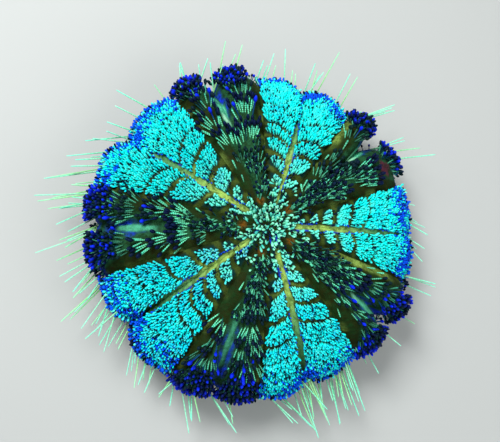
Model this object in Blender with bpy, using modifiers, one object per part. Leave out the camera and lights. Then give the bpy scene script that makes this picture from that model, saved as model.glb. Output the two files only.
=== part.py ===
"""A fire urchin at life size: a soft, flattened sea urchin seen in its five pale and five dark fields.

The flesh is ten wedges round an apical disc above and a mouth membrane with five teeth below.
Each wedge carries its own spines, and the animal stands on the flat feet of its lowest ones.
"""

import math
import random
from collections import namedtuple

import bmesh
import bpy
from mathutils import Matrix, Vector

MM = 0.001
GAP = 0.3 * MM  # clearance between neighbouring pieces
WELD = 0.01 * MM
SEED = 7

# Heights of the body without its spines, above the floor
TOP_Z = 49.0 * MM
AMBITUS_Z = 24.0 * MM  # the widest level
UNDER_Z = 13.0 * MM
MOUTH_RISE = 3.0 * MM  # the underside is a little hollow towards the mouth
CORE_Z = 31.0 * MM  # where the apical disc's root meets the mouth membrane's

DOME_POWER = 2.35  # superellipse exponents: 2 is an ellipse, more is squarer
UNDER_POWER = 3.2
LOBE_POWER = 0.55  # how full the lobes between the grooves are

APICAL_RADIUS = 11.0 * MM
APICAL_DROP = 0.6 * MM  # the disc's edge is a little lower than its middle
MEMBRANE_RADIUS = 22.0 * MM
MEAN_REACH = 85.0 * MM
# The mouth membrane from its flat inwards to the pit that the teeth stand in: radius, height
MOUTH_PROFILE = [(12.0 * MM, 14.0 * MM), (6.0 * MM, 15.0 * MM), (4.2 * MM, 19.0 * MM), (0.0, 19.0 * MM)]
TEETH = 5
# A tooth, from its root down to its tip: distance from the axis, half width, depth, height
TOOTH_STATIONS = [
    (3.2 * MM, 1.1 * MM, 1.6 * MM, 18.6 * MM),
    (2.7 * MM, 1.0 * MM, 1.5 * MM, 15.5 * MM),
    (1.2 * MM, 0.35 * MM, 0.9 * MM, 12.5 * MM),
]
TOOTH_TAPER = 0.6  # the inner face of a tooth is this much of its outer one
UPPER_ROWS = 8  # rows of faces from the apical disc to the rim
LOWER_ROWS = 5
CORE_SIDES = 20
BORDER_COLUMNS = {"pale": 5, "dark": 4}  # columns of faces in half a field

FRINGE = {"pale": 4.0 * MM, "dark": 6.0 * MM}  # how far the short spines pass the skin's rim
GROOVE_DEPTH = {"pale": 3.4 * MM, "dark": 4.6 * MM}
GROOVE_FADE = 4  # the grooves grow deeper outwards and fade this sharply at the rim
KNOB_RISE = 3.0 * MM  # the dark lobes end in knobs
KNOB_PLACE = 0.84  # share of the way from the axis to the rim
KNOB_WIDTH = 0.12

# Each field: where it starts and its middle groove (degrees round the axis), then, out to the tips
# of the short spines, its reach at the start, on the first lobe, at the groove and on the second.
Field = namedtuple("Field", "name kind start middle edge lobe_a groove lobe_b")
FIELDS = [
    Field("pale_field_1", "pale", -20.5, -1.5, 85.4 * MM, 86.5 * MM, 83.0 * MM, 85.0 * MM),
    Field("dark_field_1", "dark", 17.6, 38.1, 84.0 * MM, 88.5 * MM, 71.0 * MM, 89.0 * MM),
    Field("pale_field_2", "pale", 51.4, 74.9, 78.7 * MM, 82.5 * MM, 75.5 * MM, 81.8 * MM),
    Field("dark_field_2", "dark", 90.9, 110.1, 81.1 * MM, 90.5 * MM, 78.5 * MM, 91.5 * MM),
    Field("pale_field_3", "pale", 123.1, 146.9, 82.5 * MM, 86.5 * MM, 80.0 * MM, 90.0 * MM),
    Field("dark_field_3", "dark", 168.2, 180.6, 88.9 * MM, 95.0 * MM, 87.5 * MM, 94.5 * MM),
    Field("pale_field_4", "pale", 198.4, 215.6, 88.2 * MM, 89.5 * MM, 80.5 * MM, 92.0 * MM),
    Field("dark_field_4", "dark", 239.9, 253.4, 91.4 * MM, 97.0 * MM, 89.5 * MM, 95.5 * MM),
    Field("pale_field_5", "pale", 267.8, 286.9, 89.4 * MM, 91.0 * MM, 83.5 * MM, 88.5 * MM),
    Field("dark_field_5", "dark", 308.2, 323.3, 85.4 * MM, 93.0 * MM, 81.0 * MM, 94.0 * MM),
]
FULL_TURN = 360.0
HALF_STEP = 0.5  # degrees either way when the skin's slope is measured
RIM = 90.0  # a place on the skin is a turn: 0 at the apex, 90 at the rim, 180 at the mouth

# A sort of spine: its length, how far it leans outwards off the skin (degrees), its sides, its radius
# at the root and where it is thickest, and how far along it that is. Where that is 1 it ends blunt.
Spine = namedtuple("Spine", "length lean sides root_radius swell_radius swell_at")
BLADE = Spine(5.4 * MM, 38.0, 3, 0.55 * MM, 0.70 * MM, 0.72)
CLUB = Spine(8.2 * MM, 44.0, 3, 0.50 * MM, 1.10 * MM, 0.80)
KNOB_CLUB = Spine(6.6 * MM, 12.0, 3, 0.50 * MM, 1.15 * MM, 0.80)
FRINGE_BLADE = Spine(4.6 * MM, 16.0, 3, 0.50 * MM, 0.85 * MM, 0.78)
NEEDLE = Spine(23.5 * MM, 0.0, 4, 0.65 * MM, 0.38 * MM, 1.0)
UNDER_SPINE = Spine(6.4 * MM, -18.0, 3, 0.55 * MM, 0.50 * MM, 0.60)
CROWN_SPINE = Spine(4.6 * MM, 10.0, 3, 0.55 * MM, 0.65 * MM, 0.70)
ROOT_DEPTH = 1.6 * MM  # how deep a spine's root is sunk in the flesh
LENGTH_SPREAD = 0.15  # as a share of the length
LEAN_SPREAD = 8.0  # degrees either way
SIDE_SPREAD = 6.0

ROW_SPACING = {"pale": 7.4 * MM, "dark": 7.6 * MM}
FIRST_ROW = 3.6 * MM  # from the apical disc's edge
LAST_ROW = 5.0 * MM  # from the rim
STEEPEST_ROW = 0.55  # the rows come closer down the slope, to this share of their spacing at least
COUNT_BIAS = 0.15  # a strip takes one spine more a little before it has the room for it
BARE_GROOVE = 1.7 * MM  # half the bare strip along a middle groove
BARE_BORDER = {"pale": 1.9 * MM, "dark": 2.2 * MM}
DARK_BARE_SHARE = 0.26  # the dark fields' brown margins, as a share of half the field

FRINGE_TURNS = {"pale": (83.0, 97.0), "dark": (72.0, 86.0, 100.0)}
FRINGE_SPACING = 8.6 * MM
NEEDLES = {"pale": 8, "dark": 5}
NEEDLE_TURNS = (88.0, 118.0)  # they come from the rim and from just under it
NEEDLE_RISE = (-6.0, 24.0)  # degrees above level
NEEDLE_LOOSENESS = 2.0  # they sway more than the short spines
FOOT_ROWS = {"pale": ((0.55, 3), (0.80, 4)), "dark": ((0.58, 2), (0.82, 3))}  # share out, number
UNDER_ROWS = {"pale": ((0.42, 2), (0.68, 3), (0.93, 4)), "dark": ((0.44, 1), (0.70, 2), (0.94, 3))}
FOOT_SPLAY = 1.05
SHAFT_RADIUS = 0.65 * MM
HOOF_RADIUS = 1.25 * MM
HOOF_HEIGHT = 1.8 * MM
CROWN_RINGS = ((4.0 * MM, 5), (8.0 * MM, 10))  # the apical disc's rings of spines
CROWN_TWIST = (0.2, 0.5)  # a spine's place in its ring varies by this share of a step
CROWN_SINK = 0.5 * MM
MOST_TRIES = 14
SAMPLES = 6  # steps along a spine when its distance to another is measured

COLOURS = {  # base colour, roughness
    "pale": ((0.05, 0.72, 0.72, 1.0), 0.45),
    "dark": ((0.03, 0.04, 0.07, 1.0), 0.45),
    "apical": ((0.25, 0.62, 0.48, 1.0), 0.50),
    "membrane": ((0.16, 0.14, 0.06, 1.0), 0.60),
    "tooth": ((0.85, 0.85, 0.76, 1.0), 0.30),
}


def clear_scene():
    """Removes the startup objects."""
    for obj in list(bpy.data.objects):
        bpy.data.objects.remove(obj, do_unlink=True)


def material(kind):
    """The Principled material of one kind of surface, made once."""
    found = bpy.data.materials.get(kind)
    if found:
        return found
    made = bpy.data.materials.new(kind)
    made.use_nodes = True
    shader = made.node_tree.nodes["Principled BSDF"]
    colour, roughness = COLOURS[kind]
    shader.inputs["Base Color"].default_value = colour
    shader.inputs["Roughness"].default_value = roughness
    shader.inputs["Metallic"].default_value = 0.0
    return made


def field_after(field):
    """The next field round the axis, and the angle at which this one ends."""
    index = FIELDS.index(field) + 1
    following = FIELDS[index % len(FIELDS)]
    return following, following.start + (FULL_TURN if index == len(FIELDS) else 0.0)


def swelling(field, angle):
    """(share of the way across the half field, swelling there from 0 on a groove to 1)."""
    end = field_after(field)[1]
    low, high = (field.start, field.middle) if angle < field.middle else (field.middle, end)
    share = min(max((angle - low) / (high - low), 0.0), 1.0)
    return share, max(math.sin(math.pi * share), 0.0) ** LOBE_POWER


def skin_reach(field, angle):
    """The skin's distance from the axis at the rim: the spines' outline less their fringe."""
    share, swell = swelling(field, angle)
    if angle < field.middle:
        low, high, lobe = field.edge, field.groove, field.lobe_a
    else:
        low, high, lobe = field.groove, field_after(field)[0].edge, field.lobe_b
    valley = low + (high - low) * share
    least = min(FRINGE.values())
    fringe = least + (FRINGE[field.kind] - least) * swell
    return valley + (lobe - valley) * swell - fringe


def upper_z(field, angle, share):
    """Height of the upper skin at this share of the way from the axis to the rim."""
    dome = max(1.0 - share**DOME_POWER, 0.0) ** (1.0 / DOME_POWER)
    swell = swelling(field, angle)[1]
    carved = GROOVE_DEPTH[field.kind] * (1.0 - swell) * share * (1.0 - share**GROOVE_FADE)
    knob = 0.0
    if field.kind == "dark":
        knob = KNOB_RISE * swell * math.exp(-(((share - KNOB_PLACE) / KNOB_WIDTH) ** 2))
    return AMBITUS_Z + (TOP_Z - AMBITUS_Z) * dome - carved + knob


def under_z(share):
    """Height of the lower skin at this share of the way from the axis to the rim."""
    bowl = max(1.0 - share**UNDER_POWER, 0.0) ** (1.0 / UNDER_POWER)
    return AMBITUS_Z - (AMBITUS_Z - UNDER_Z) * bowl + MOUTH_RISE * (1.0 - share) ** 2


def share_at(turn):
    """How far out from the axis a turn lies, as a share of the rim's reach."""
    power = DOME_POWER if turn <= RIM else UNDER_POWER
    return math.sin(math.radians(turn)) ** (2.0 / power)


def turn_at(share, upper):
    """The turn that lies at this share of the rim's reach, above or below the rim."""
    power = DOME_POWER if upper else UNDER_POWER
    turn = math.degrees(math.asin(min(share, 1.0) ** (power / 2.0)))
    return turn if upper else 2 * RIM - turn


def around(angle, radius, z, shift=0.0):
    """A point at an angle and radius round the axis, moved sideways by shift."""
    turn = math.radians(angle)
    out = Vector((math.cos(turn), math.sin(turn), 0.0))
    side = Vector((-math.sin(turn), math.cos(turn), 0.0))
    return out * radius + side * shift + Vector((0.0, 0.0, z))


def skin(field, angle, turn):
    """The point of the skin at an angle and a turn."""
    share = share_at(turn)
    z = upper_z(field, angle, share) if turn <= RIM else under_z(share)
    return around(angle, skin_reach(field, angle) * share, z)


def skin_frame(field, angle, turn):
    """The skin's point there, its outward normal and the direction that runs down to the rim."""
    step = HALF_STEP
    across = skin(field, angle + step, turn) - skin(field, angle - step, turn)
    along = skin(field, angle, min(turn + step, 2 * RIM - step)) - skin(field, angle, turn - step)
    normal = along.cross(across).normalized()
    down = along.normalized() if turn <= RIM else -along.normalized()
    return skin(field, angle, turn), normal, down


def mesh_object(name, bm, kind, collection):
    """Turns a bmesh into a named object with its material."""
    bmesh.ops.recalc_face_normals(bm, faces=bm.faces)
    mesh = bpy.data.meshes.new(name)
    bm.to_mesh(mesh)
    bm.free()
    mesh.materials.append(material(kind))
    obj = bpy.data.objects.new(name, mesh)
    collection.objects.link(obj)
    return obj


def bridge(bm, first, second):
    """Faces between two closed rings of points, either of which may be a single point."""
    count = max(len(first), len(second))
    for i in range(count):
        j = (i + 1) % count
        if len(first) == 1:
            bm.faces.new((first[0], second[j], second[i]))
        elif len(second) == 1:
            bm.faces.new((first[i], first[j], second[0]))
        else:
            bm.faces.new((first[i], first[j], second[j], second[i]))


def section(field, angle, shift):
    """The points round a wedge's section at one angle."""
    rim = skin_reach(field, angle)
    first = turn_at(APICAL_RADIUS / rim, True)
    last = turn_at(MEMBRANE_RADIUS / rim, False)
    turns = [first + (RIM - first) * i / UPPER_ROWS for i in range(UPPER_ROWS)]
    turns += [RIM + (last - RIM) * i / LOWER_ROWS for i in range(LOWER_ROWS + 1)]
    points = []
    for turn in turns:
        share = share_at(turn)
        z = upper_z(field, angle, share) if turn <= RIM else under_z(share)
        points.append(around(angle, rim * share, z, shift))
    points.append(around(angle, MEMBRANE_RADIUS, CORE_Z, shift))
    points.append(around(angle, APICAL_RADIUS, CORE_Z, shift))
    return points


def wedge(field, collection):
    """One field of the body: a loft of its sections from border to border."""
    bm = bmesh.new()
    end = field_after(field)[1]
    steps = BORDER_COLUMNS[field.kind]
    angles = [field.start + (field.middle - field.start) * i / steps for i in range(steps)]
    angles += [field.middle + (end - field.middle) * i / steps for i in range(steps + 1)]
    rings = []
    for angle in angles:
        shift = GAP / 2 if angle == angles[0] else -GAP / 2 if angle == angles[-1] else 0.0
        rings.append([bm.verts.new(point) for point in section(field, angle, shift)])
    for first, second in zip(rings, rings[1:]):
        bridge(bm, first, second)
    bm.faces.new(rings[0])
    bm.faces.new(rings[-1])
    return mesh_object(field.name, bm, field.kind, collection)


def turned(name, profile, kind, collection):
    """A turned solid: a profile of (radius, height), top to bottom, under a Screw modifier."""
    bm = bmesh.new()
    verts = [bm.verts.new((radius, 0.0, z)) for radius, z in profile]
    for first, second in zip(verts, verts[1:]):
        bm.edges.new((first, second))
    obj = mesh_object(name, bm, kind, collection)
    screw = obj.modifiers.new("turn", "SCREW")
    screw.axis = "Z"
    screw.steps = CORE_SIDES
    screw.render_steps = CORE_SIDES
    screw.use_merge_vertices = True
    screw.merge_threshold = WELD
    screw.use_smooth_shade = False
    return obj


def teeth(collection):
    """The five teeth: bent wedges that share one mesh and meet at their tips under the mouth."""
    bm = bmesh.new()
    rings = []
    for out, half_width, depth, z in TOOTH_STATIONS:
        inner = half_width * TOOTH_TAPER
        corners = [(out - depth / 2, -inner), (out - depth / 2, inner)]
        corners += [(out + depth / 2, half_width), (out + depth / 2, -half_width)]
        rings.append([bm.verts.new((x, y, z)) for x, y in corners])
    for first, second in zip(rings, rings[1:]):
        bridge(bm, first, second)
    bm.faces.new(rings[0])
    bm.faces.new(rings[-1])
    made = [mesh_object("tooth_1", bm, "tooth", collection)]
    for index in range(1, TEETH):
        copy = bpy.data.objects.new(f"tooth_{index + 1}", made[0].data)
        collection.objects.link(copy)
        made.append(copy)
    for index, obj in enumerate(made):
        obj.rotation_euler.z = math.radians(FULL_TURN * (index + 0.5) / TEETH)
    return made


def spine_object(root, direction, spine, length, kind, collection):
    """A tapered spine, swollen towards its end, with its root sunk under the point it grows from."""
    bm = bmesh.new()
    shaft = (length + ROOT_DEPTH) * spine.swell_at
    middle = root + direction * (shaft / 2 - ROOT_DEPTH)
    place = Matrix.Translation(middle) @ direction.to_track_quat("Z", "Y").to_matrix().to_4x4()
    bmesh.ops.create_cone(bm, cap_ends=True, segments=spine.sides, radius1=spine.root_radius,
                          radius2=spine.swell_radius, depth=shaft, matrix=place)
    if spine.swell_at < 1.0:
        cap = max(bm.faces, key=lambda face: face.calc_center_median().dot(direction))
        bmesh.ops.poke(bm, faces=[cap], offset=length + ROOT_DEPTH - shaft)
    return mesh_object("spine", bm, kind, collection)


def foot_object(root, ground, kind, collection):
    """A lower spine that ends in a hoof with its flat on the floor."""
    bm = bmesh.new()
    top = root + Vector((0.0, 0.0, ROOT_DEPTH))
    ankle = ground + (root - ground) * (HOOF_HEIGHT / root.z)
    rings = []
    for centre, radius in ((top, SHAFT_RADIUS), (ankle, SHAFT_RADIUS), (ground, HOOF_RADIUS)):
        corners = [(radius, 0.0, 0.0), (0.0, radius, 0.0), (-radius, 0.0, 0.0), (0.0, -radius, 0.0)]
        rings.append([bm.verts.new(centre + Vector(corner)) for corner in corners])
    for first, second in zip(rings, rings[1:]):
        bridge(bm, first, second)
    bm.faces.new(rings[0])
    bm.faces.new(rings[-1])
    return mesh_object("foot", bm, kind, collection)


def apart(a, b, c, d):
    """The least distance between the segments a-b and c-d, from points along the first."""
    least = math.inf
    span = d - c
    for i in range(SAMPLES + 1):
        point = a + (b - a) * (i / SAMPLES)
        share = min(max((point - c).dot(span) / span.length_squared, 0.0), 1.0)
        least = min(least, (point - c - span * share).length)
    return least


class Coat:
    """The spines of one wedge, each kept inside the wedge and clear of those before it."""

    def __init__(self, field, draw):
        self.field = field
        self.draw = draw
        self.placed = []
        self.collection = bpy.data.collections.new(field.name + "_spines")

    def fits(self, start, end, radius):
        """Whether a spine from start to end stays in the wedge and clear of the others."""
        last = field_after(self.field)[1]
        for point in (start, end):
            for angle, sign in ((self.field.start, 1.0), (last, -1.0)):
                turn = math.radians(angle)
                off = (-math.sin(turn) * point.x + math.cos(turn) * point.y) * sign
                if off < radius + GAP:
                    return False
        for other_start, other_end, other_radius in self.placed:
            near = radius + other_radius + GAP
            reach = (end - start).length + (other_end - other_start).length + near
            if (start - other_start).length > reach:
                continue
            if apart(start, end, other_start, other_end) < near:
                return False
        return True

    def add(self, angle, turn, spine, direction=None, jitter=1.0):
        """Grows a spine at an angle and turn, leaning outwards or along a given direction."""
        root, normal, down = skin_frame(self.field, angle, turn)
        side = normal.cross(down)
        radius = max(spine.root_radius, spine.swell_radius)
        for _ in range(MOST_TRIES):
            lean = math.radians(spine.lean + self.draw.uniform(-LEAN_SPREAD, LEAN_SPREAD) * jitter)
            sway = math.radians(self.draw.uniform(-SIDE_SPREAD, SIDE_SPREAD) * jitter)
            length = spine.length * self.draw.uniform(1 - LENGTH_SPREAD, 1 + LENGTH_SPREAD)
            aim = direction or normal * math.cos(lean) + down * math.sin(lean)
            aim = (aim.normalized() + side * math.sin(sway)).normalized()
            if self.fits(root, root + aim * length, radius):
                self.placed.append((root, root + aim * length, radius))
                spine_object(root, aim, spine, length, self.field.kind, self.collection)
                return True
        return False

    def halves(self):
        """The two halves of the field as (low angle, high angle, whether the border is the low one)."""
        last = field_after(self.field)[1]
        return ((self.field.start, self.field.middle, True), (self.field.middle, last, False))

    def spread(self, turn, low, high, border_low, spacing, bare_share):
        """Evenly spaced angles across half a field at one turn, less its bare strips."""
        radius = skin_reach(self.field, (low + high) / 2) * share_at(turn)
        width = radius * math.radians(high - low)
        border = BARE_BORDER[self.field.kind] + width * bare_share
        start = border if border_low else BARE_GROOVE
        stop = width - (BARE_GROOVE if border_low else border)
        count = int(round((stop - start) / spacing + COUNT_BIAS))
        if count < 1:
            return [low + (start + stop) / 2 / width * (high - low)] if stop > start else []
        return [low + (start + (stop - start) * (i + 0.5) / count) / width * (high - low)
                for i in range(count)]

    def upper(self):
        """Rows of short spines from the apical disc out to the rim."""
        kind = self.field.kind
        spacing = ROW_SPACING[kind]
        dark = kind == "dark"
        for low, high, border_low in self.halves():
            reach = skin_reach(self.field, (low + high) / 2)
            at = APICAL_RADIUS + FIRST_ROW
            while at < reach - LAST_ROW:
                turn = turn_at(at / reach, True)
                steep = math.cos(math.radians(turn))
                for angle in self.spread(turn, low, high, border_low, spacing, DARK_BARE_SHARE * dark):
                    self.add(angle, turn, CLUB if dark else BLADE)
                at += spacing * max(math.sqrt(steep), STEEPEST_ROW)

    def fringe(self):
        """The spines round the rim, which make the outline."""
        dark = self.field.kind == "dark"
        for turn in FRINGE_TURNS[self.field.kind]:
            for low, high, border_low in self.halves():
                for angle in self.spread(turn, low, high, border_low, FRINGE_SPACING, 0.0):
                    self.add(angle, turn, KNOB_CLUB if dark else FRINGE_BLADE)

    def needles(self):
        """The long needle spines, level with the floor, from just under the rim."""
        last = field_after(self.field)[1]
        count = NEEDLES[self.field.kind]
        for i in range(count):
            angle = self.field.start + (last - self.field.start) * (i + 0.5) / count
            rise = math.radians(self.draw.uniform(*NEEDLE_RISE))
            out = around(angle, 1.0, 0.0)
            direction = out * math.cos(rise) + Vector((0.0, 0.0, math.sin(rise)))
            turn = self.draw.uniform(*NEEDLE_TURNS)
            self.add(angle, turn, NEEDLE, direction, NEEDLE_LOOSENESS)

    def lower(self):
        """The feet that reach the floor, and shorter spines among them."""
        last = field_after(self.field)[1]
        width = last - self.field.start
        for share, count in FOOT_ROWS[self.field.kind]:
            for i in range(count):
                angle = self.field.start + width * (i + 0.5) / count
                root = skin(self.field, angle, turn_at(share, False))
                ground = Vector((root.x * FOOT_SPLAY, root.y * FOOT_SPLAY, 0.0))
                if self.fits(root, ground, HOOF_RADIUS):
                    self.placed.append((root, ground, HOOF_RADIUS))
                    foot_object(root, ground, self.field.kind, self.collection)
        for share, count in UNDER_ROWS[self.field.kind]:
            for i in range(count):
                angle = self.field.start + width * (i + 0.5) / count
                self.add(angle, turn_at(share, False), UNDER_SPINE)


def largest_surface(bm):
    """Keeps the largest of a mesh's closed surfaces and deletes the others."""
    left = set(bm.verts)
    surfaces = []
    while left:
        grown = [left.pop()]
        for vert in grown:
            near = [edge.other_vert(vert) for edge in vert.link_edges]
            grown += [v for v in near if v in left and not left.discard(v)]
        surfaces.append(grown)
    surfaces.sort(key=len, reverse=True)
    for surface in surfaces[1:]:
        bmesh.ops.delete(bm, geom=surface, context="VERTS")


def fuse(obj, collection):
    """Joins a collection's closed pieces to an object and removes them."""
    modifier = obj.modifiers.new("spines", "BOOLEAN")
    modifier.operation = "UNION"
    modifier.operand_type = "COLLECTION"
    modifier.collection = collection
    modifier.solver = "EXACT"
    bpy.context.view_layer.update()
    graph = bpy.context.evaluated_depsgraph_get()
    joined = bpy.data.meshes.new_from_object(obj.evaluated_get(graph))
    obj.modifiers.clear()
    bm = bmesh.new()
    bm.from_mesh(joined)
    largest_surface(bm)
    bm.to_mesh(joined)
    bm.free()
    plain = obj.data
    obj.data = joined
    joined.name = plain.name
    bpy.data.meshes.remove(plain)
    for piece in list(collection.objects):
        bpy.data.objects.remove(piece, do_unlink=True)
    bpy.data.collections.remove(collection)


def clothed_wedge(field, draw, collection):
    """A wedge of the body with all its spines."""
    obj = wedge(field, collection)
    coat = Coat(field, draw)
    bpy.context.scene.collection.children.link(coat.collection)
    coat.needles()
    coat.lower()
    coat.fringe()
    coat.upper()
    fuse(obj, coat.collection)
    return obj


def apical_disc(draw, collection):
    """The disc at the top of the body, with two rings of small spines round a middle one."""
    rim = APICAL_RADIUS - GAP
    profile = [(0.0, TOP_Z), (rim / 2, TOP_Z), (rim, TOP_Z - APICAL_DROP), (rim, CORE_Z + GAP)]
    profile.append((0.0, CORE_Z + GAP))
    obj = turned("apical_disc", profile, "apical", collection)
    crown = bpy.data.collections.new("apical_spines")
    bpy.context.scene.collection.children.link(crown)
    places = [(0.0, 0.0)]
    for radius, count in CROWN_RINGS:
        places += [(radius, FULL_TURN * (i + draw.uniform(*CROWN_TWIST)) / count) for i in range(count)]
    for radius, angle in places:
        root = around(angle, radius, TOP_Z - CROWN_SINK)
        lean = math.radians(CROWN_SPINE.lean)
        direction = around(angle, math.sin(lean), math.cos(lean))
        length = CROWN_SPINE.length * draw.uniform(1 - LENGTH_SPREAD, 1 + LENGTH_SPREAD)
        spine_object(root, direction, CROWN_SPINE, length, "apical", crown)
    fuse(obj, crown)
    return obj


def peristome(collection):
    """The mouth membrane, with the pit that the teeth stand in."""
    edge = MEMBRANE_RADIUS - GAP
    floor = under_z(MEMBRANE_RADIUS / MEAN_REACH)
    profile = [(0.0, CORE_Z - GAP), (edge, CORE_Z - GAP), (edge, floor)]
    profile += MOUTH_PROFILE
    return turned("peristome", profile, "membrane", collection)


def centre_on_floor(objects):
    """Hangs every object on one empty that puts the middle of the whole outline at the origin."""
    points = [vert.co for obj in objects for vert in obj.data.vertices]
    middle = [(min(p[i] for p in points) + max(p[i] for p in points)) / 2 for i in (0, 1)]
    carrier = bpy.data.objects.new("fire_urchin_place", None)
    carrier.location = (-middle[0], -middle[1], 0.0)
    bpy.context.scene.collection.objects.link(carrier)
    for obj in objects:
        obj.parent = carrier


def main():
    """Builds the animal."""
    clear_scene()
    draw = random.Random(SEED)
    collection = bpy.data.collections.new("fire_urchin")
    bpy.context.scene.collection.children.link(collection)
    nodes = [clothed_wedge(field, draw, collection) for field in FIELDS]
    nodes.append(apical_disc(draw, collection))
    nodes.append(peristome(collection))
    nodes += teeth(collection)
    centre_on_floor(nodes)


main()
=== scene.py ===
"""Looks of a life-size fire urchin: one skin, a coat of venom spines, the light and the camera.

Lengths are in metres and angles in degrees. A place on the body is an angle round the axis and a
turn: 0 at the apex, 90 at the rim and 180 at the mouth.
"""

import logging
import math
from dataclasses import dataclass, field, replace
from enum import Enum

import bpy
import numpy as np
from mathutils import Matrix, Vector


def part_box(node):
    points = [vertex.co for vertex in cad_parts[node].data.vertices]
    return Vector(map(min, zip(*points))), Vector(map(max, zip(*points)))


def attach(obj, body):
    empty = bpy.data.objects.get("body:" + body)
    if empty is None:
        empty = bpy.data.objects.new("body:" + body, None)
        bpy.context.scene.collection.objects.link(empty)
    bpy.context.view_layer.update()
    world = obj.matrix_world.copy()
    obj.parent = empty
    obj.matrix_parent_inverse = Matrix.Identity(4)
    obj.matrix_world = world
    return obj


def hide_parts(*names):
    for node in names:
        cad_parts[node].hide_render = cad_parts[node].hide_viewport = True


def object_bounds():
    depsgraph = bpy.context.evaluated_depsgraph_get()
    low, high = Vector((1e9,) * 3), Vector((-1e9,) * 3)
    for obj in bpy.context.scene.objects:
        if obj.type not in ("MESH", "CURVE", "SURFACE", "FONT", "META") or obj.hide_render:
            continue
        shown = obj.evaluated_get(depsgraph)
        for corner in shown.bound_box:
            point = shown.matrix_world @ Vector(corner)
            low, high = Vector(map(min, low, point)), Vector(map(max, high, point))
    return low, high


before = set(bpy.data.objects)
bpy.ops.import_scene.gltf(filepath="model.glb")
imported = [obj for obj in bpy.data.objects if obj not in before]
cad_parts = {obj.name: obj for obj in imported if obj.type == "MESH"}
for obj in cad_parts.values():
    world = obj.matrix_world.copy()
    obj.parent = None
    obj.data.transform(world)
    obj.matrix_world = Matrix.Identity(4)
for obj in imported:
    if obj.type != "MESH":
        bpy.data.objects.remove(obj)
CAD_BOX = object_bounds()

LOG = logging.getLogger("fire_urchin")
Array = np.ndarray
Colour = tuple[float, float, float]
Pair = tuple[float, float]
Ramp = tuple[tuple[float, Colour], ...]
Material = bpy.types.Material
Node = bpy.types.Node
Piece = bpy.types.Object
Socket = bpy.types.NodeSocket
Tree = bpy.types.NodeTree
MM = 0.001
FAR = 1.0
RIM = 90.0
LAST_TURN = 179.0
FULL_TURN = 360.0
BAKE_MAP = "OFBake"
NUMBER, COLOUR = "NodeSocketFloat", "NodeSocketColor"
PATCH = 0.003
TOOTH_COUNT = 5


class Kind(Enum):
    """The two sorts of field round the body."""

    PALE = "pale"
    DARK = "dark"


class Slot(Enum):
    """The record's material slots."""

    PALE = "pale"
    DARK = "dark"
    APICAL = "apical"
    MEMBRANE = "membrane"
    TOOTH = "tooth"


@dataclass(frozen=True)
class Field:
    """One field of the body with its reach, in millimetres, out to the tips of its short spines."""

    name: str
    kind: Kind
    start: float
    middle: float
    edge: float
    lobe_a: float
    groove: float
    lobe_b: float


FIELDS = (
    Field("pale_field_1", Kind.PALE, -20.5, -3.3, 85.4, 86.5, 83.0, 85.0),
    Field("dark_field_1", Kind.DARK, 16.8, 38.1, 84.0, 89.5, 70.0, 90.0),
    Field("pale_field_2", Kind.PALE, 51.4, 72.6, 78.7, 82.5, 75.5, 81.8),
    Field("dark_field_2", Kind.DARK, 92.0, 110.1, 81.1, 90.5, 78.5, 91.5),
    Field("pale_field_3", Kind.PALE, 125.3, 149.2, 82.5, 86.5, 80.0, 90.0),
    Field("dark_field_3", Kind.DARK, 168.2, 180.6, 88.9, 95.0, 87.5, 94.5),
    Field("pale_field_4", Kind.PALE, 198.4, 217.0, 88.2, 89.5, 80.5, 92.0),
    Field("dark_field_4", Kind.DARK, 238.6, 253.4, 91.4, 97.0, 89.5, 95.5),
    Field("pale_field_5", Kind.PALE, 268.3, 285.4, 89.4, 91.0, 83.5, 88.5),
    Field("dark_field_5", Kind.DARK, 306.8, 322.8, 85.4, 94.0, 80.0, 95.5),
)


@dataclass(frozen=True)
class Band:
    """The bare band along a pale field's middle, and the cross bands on both sides of it."""

    end: float  # where it ends, as a share of the way to the rim
    inner: float  # its width at the crown, as a share of its width halfway
    outer: float  # its width towards the rim
    early: Pair  # degrees by which the blue of the rim begins sooner in the two halves
    dusk: float  # how much duller than usual its outer blades are, up to 1
    first: tuple[float, ...]  # the cross bands of the first half, as shares of the way to the rim
    second: tuple[float, ...]


BANDS = (
    Band(0.96, 0.75, 0.65, (7.0, 8.0), -0.5,
         (0.25, 0.34, 0.44, 0.56, 0.69, 0.83), (0.25, 0.33, 0.42, 0.54, 0.66, 0.8)),
    Band(0.78, 0.3, 0.9, (4.0, -6.0), -0.2,
         (0.25, 0.35, 0.49, 0.61, 0.735, 0.88), (0.26, 0.35, 0.455, 0.567, 0.65, 0.78)),
    Band(0.9, 0.75, 0.9, (0.0, 0.0), 0.0,
         (0.21, 0.31, 0.45, 0.59, 0.7, 0.85), (0.26, 0.405, 0.596, 0.71, 0.85)),
    Band(1.0, 0.75, 1.1, (2.0, 3.0), 1.0,
         (0.22, 0.32, 0.48, 0.636, 0.8), (0.3, 0.42, 0.517, 0.62, 0.71, 0.86)),
    Band(1.02, 0.75, 1.2, (1.0, 1.0), 0.7,
         (0.29, 0.4, 0.562, 0.7, 0.79, 0.9), (0.29, 0.393, 0.513, 0.64, 0.77, 0.89)),
)


@dataclass(frozen=True)
class Bar:
    """The pale bar along a dark field, and how the field's inner half is clothed."""

    begin: float  # shares of the way to the rim
    end: float
    offset: float  # millimetres to the side
    glow: float
    heavy: float  # the denser side: -1 for the half before the middle to 1 for the half after it
    full: float  # how much of the inner half is clothed
    balls: Pair  # degrees that the balls on the two lobes are turned
    ball: float  # millimetres from a ball's middle to its side
    edged: float  # how thickly globes stand along the rim beside the balls


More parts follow.
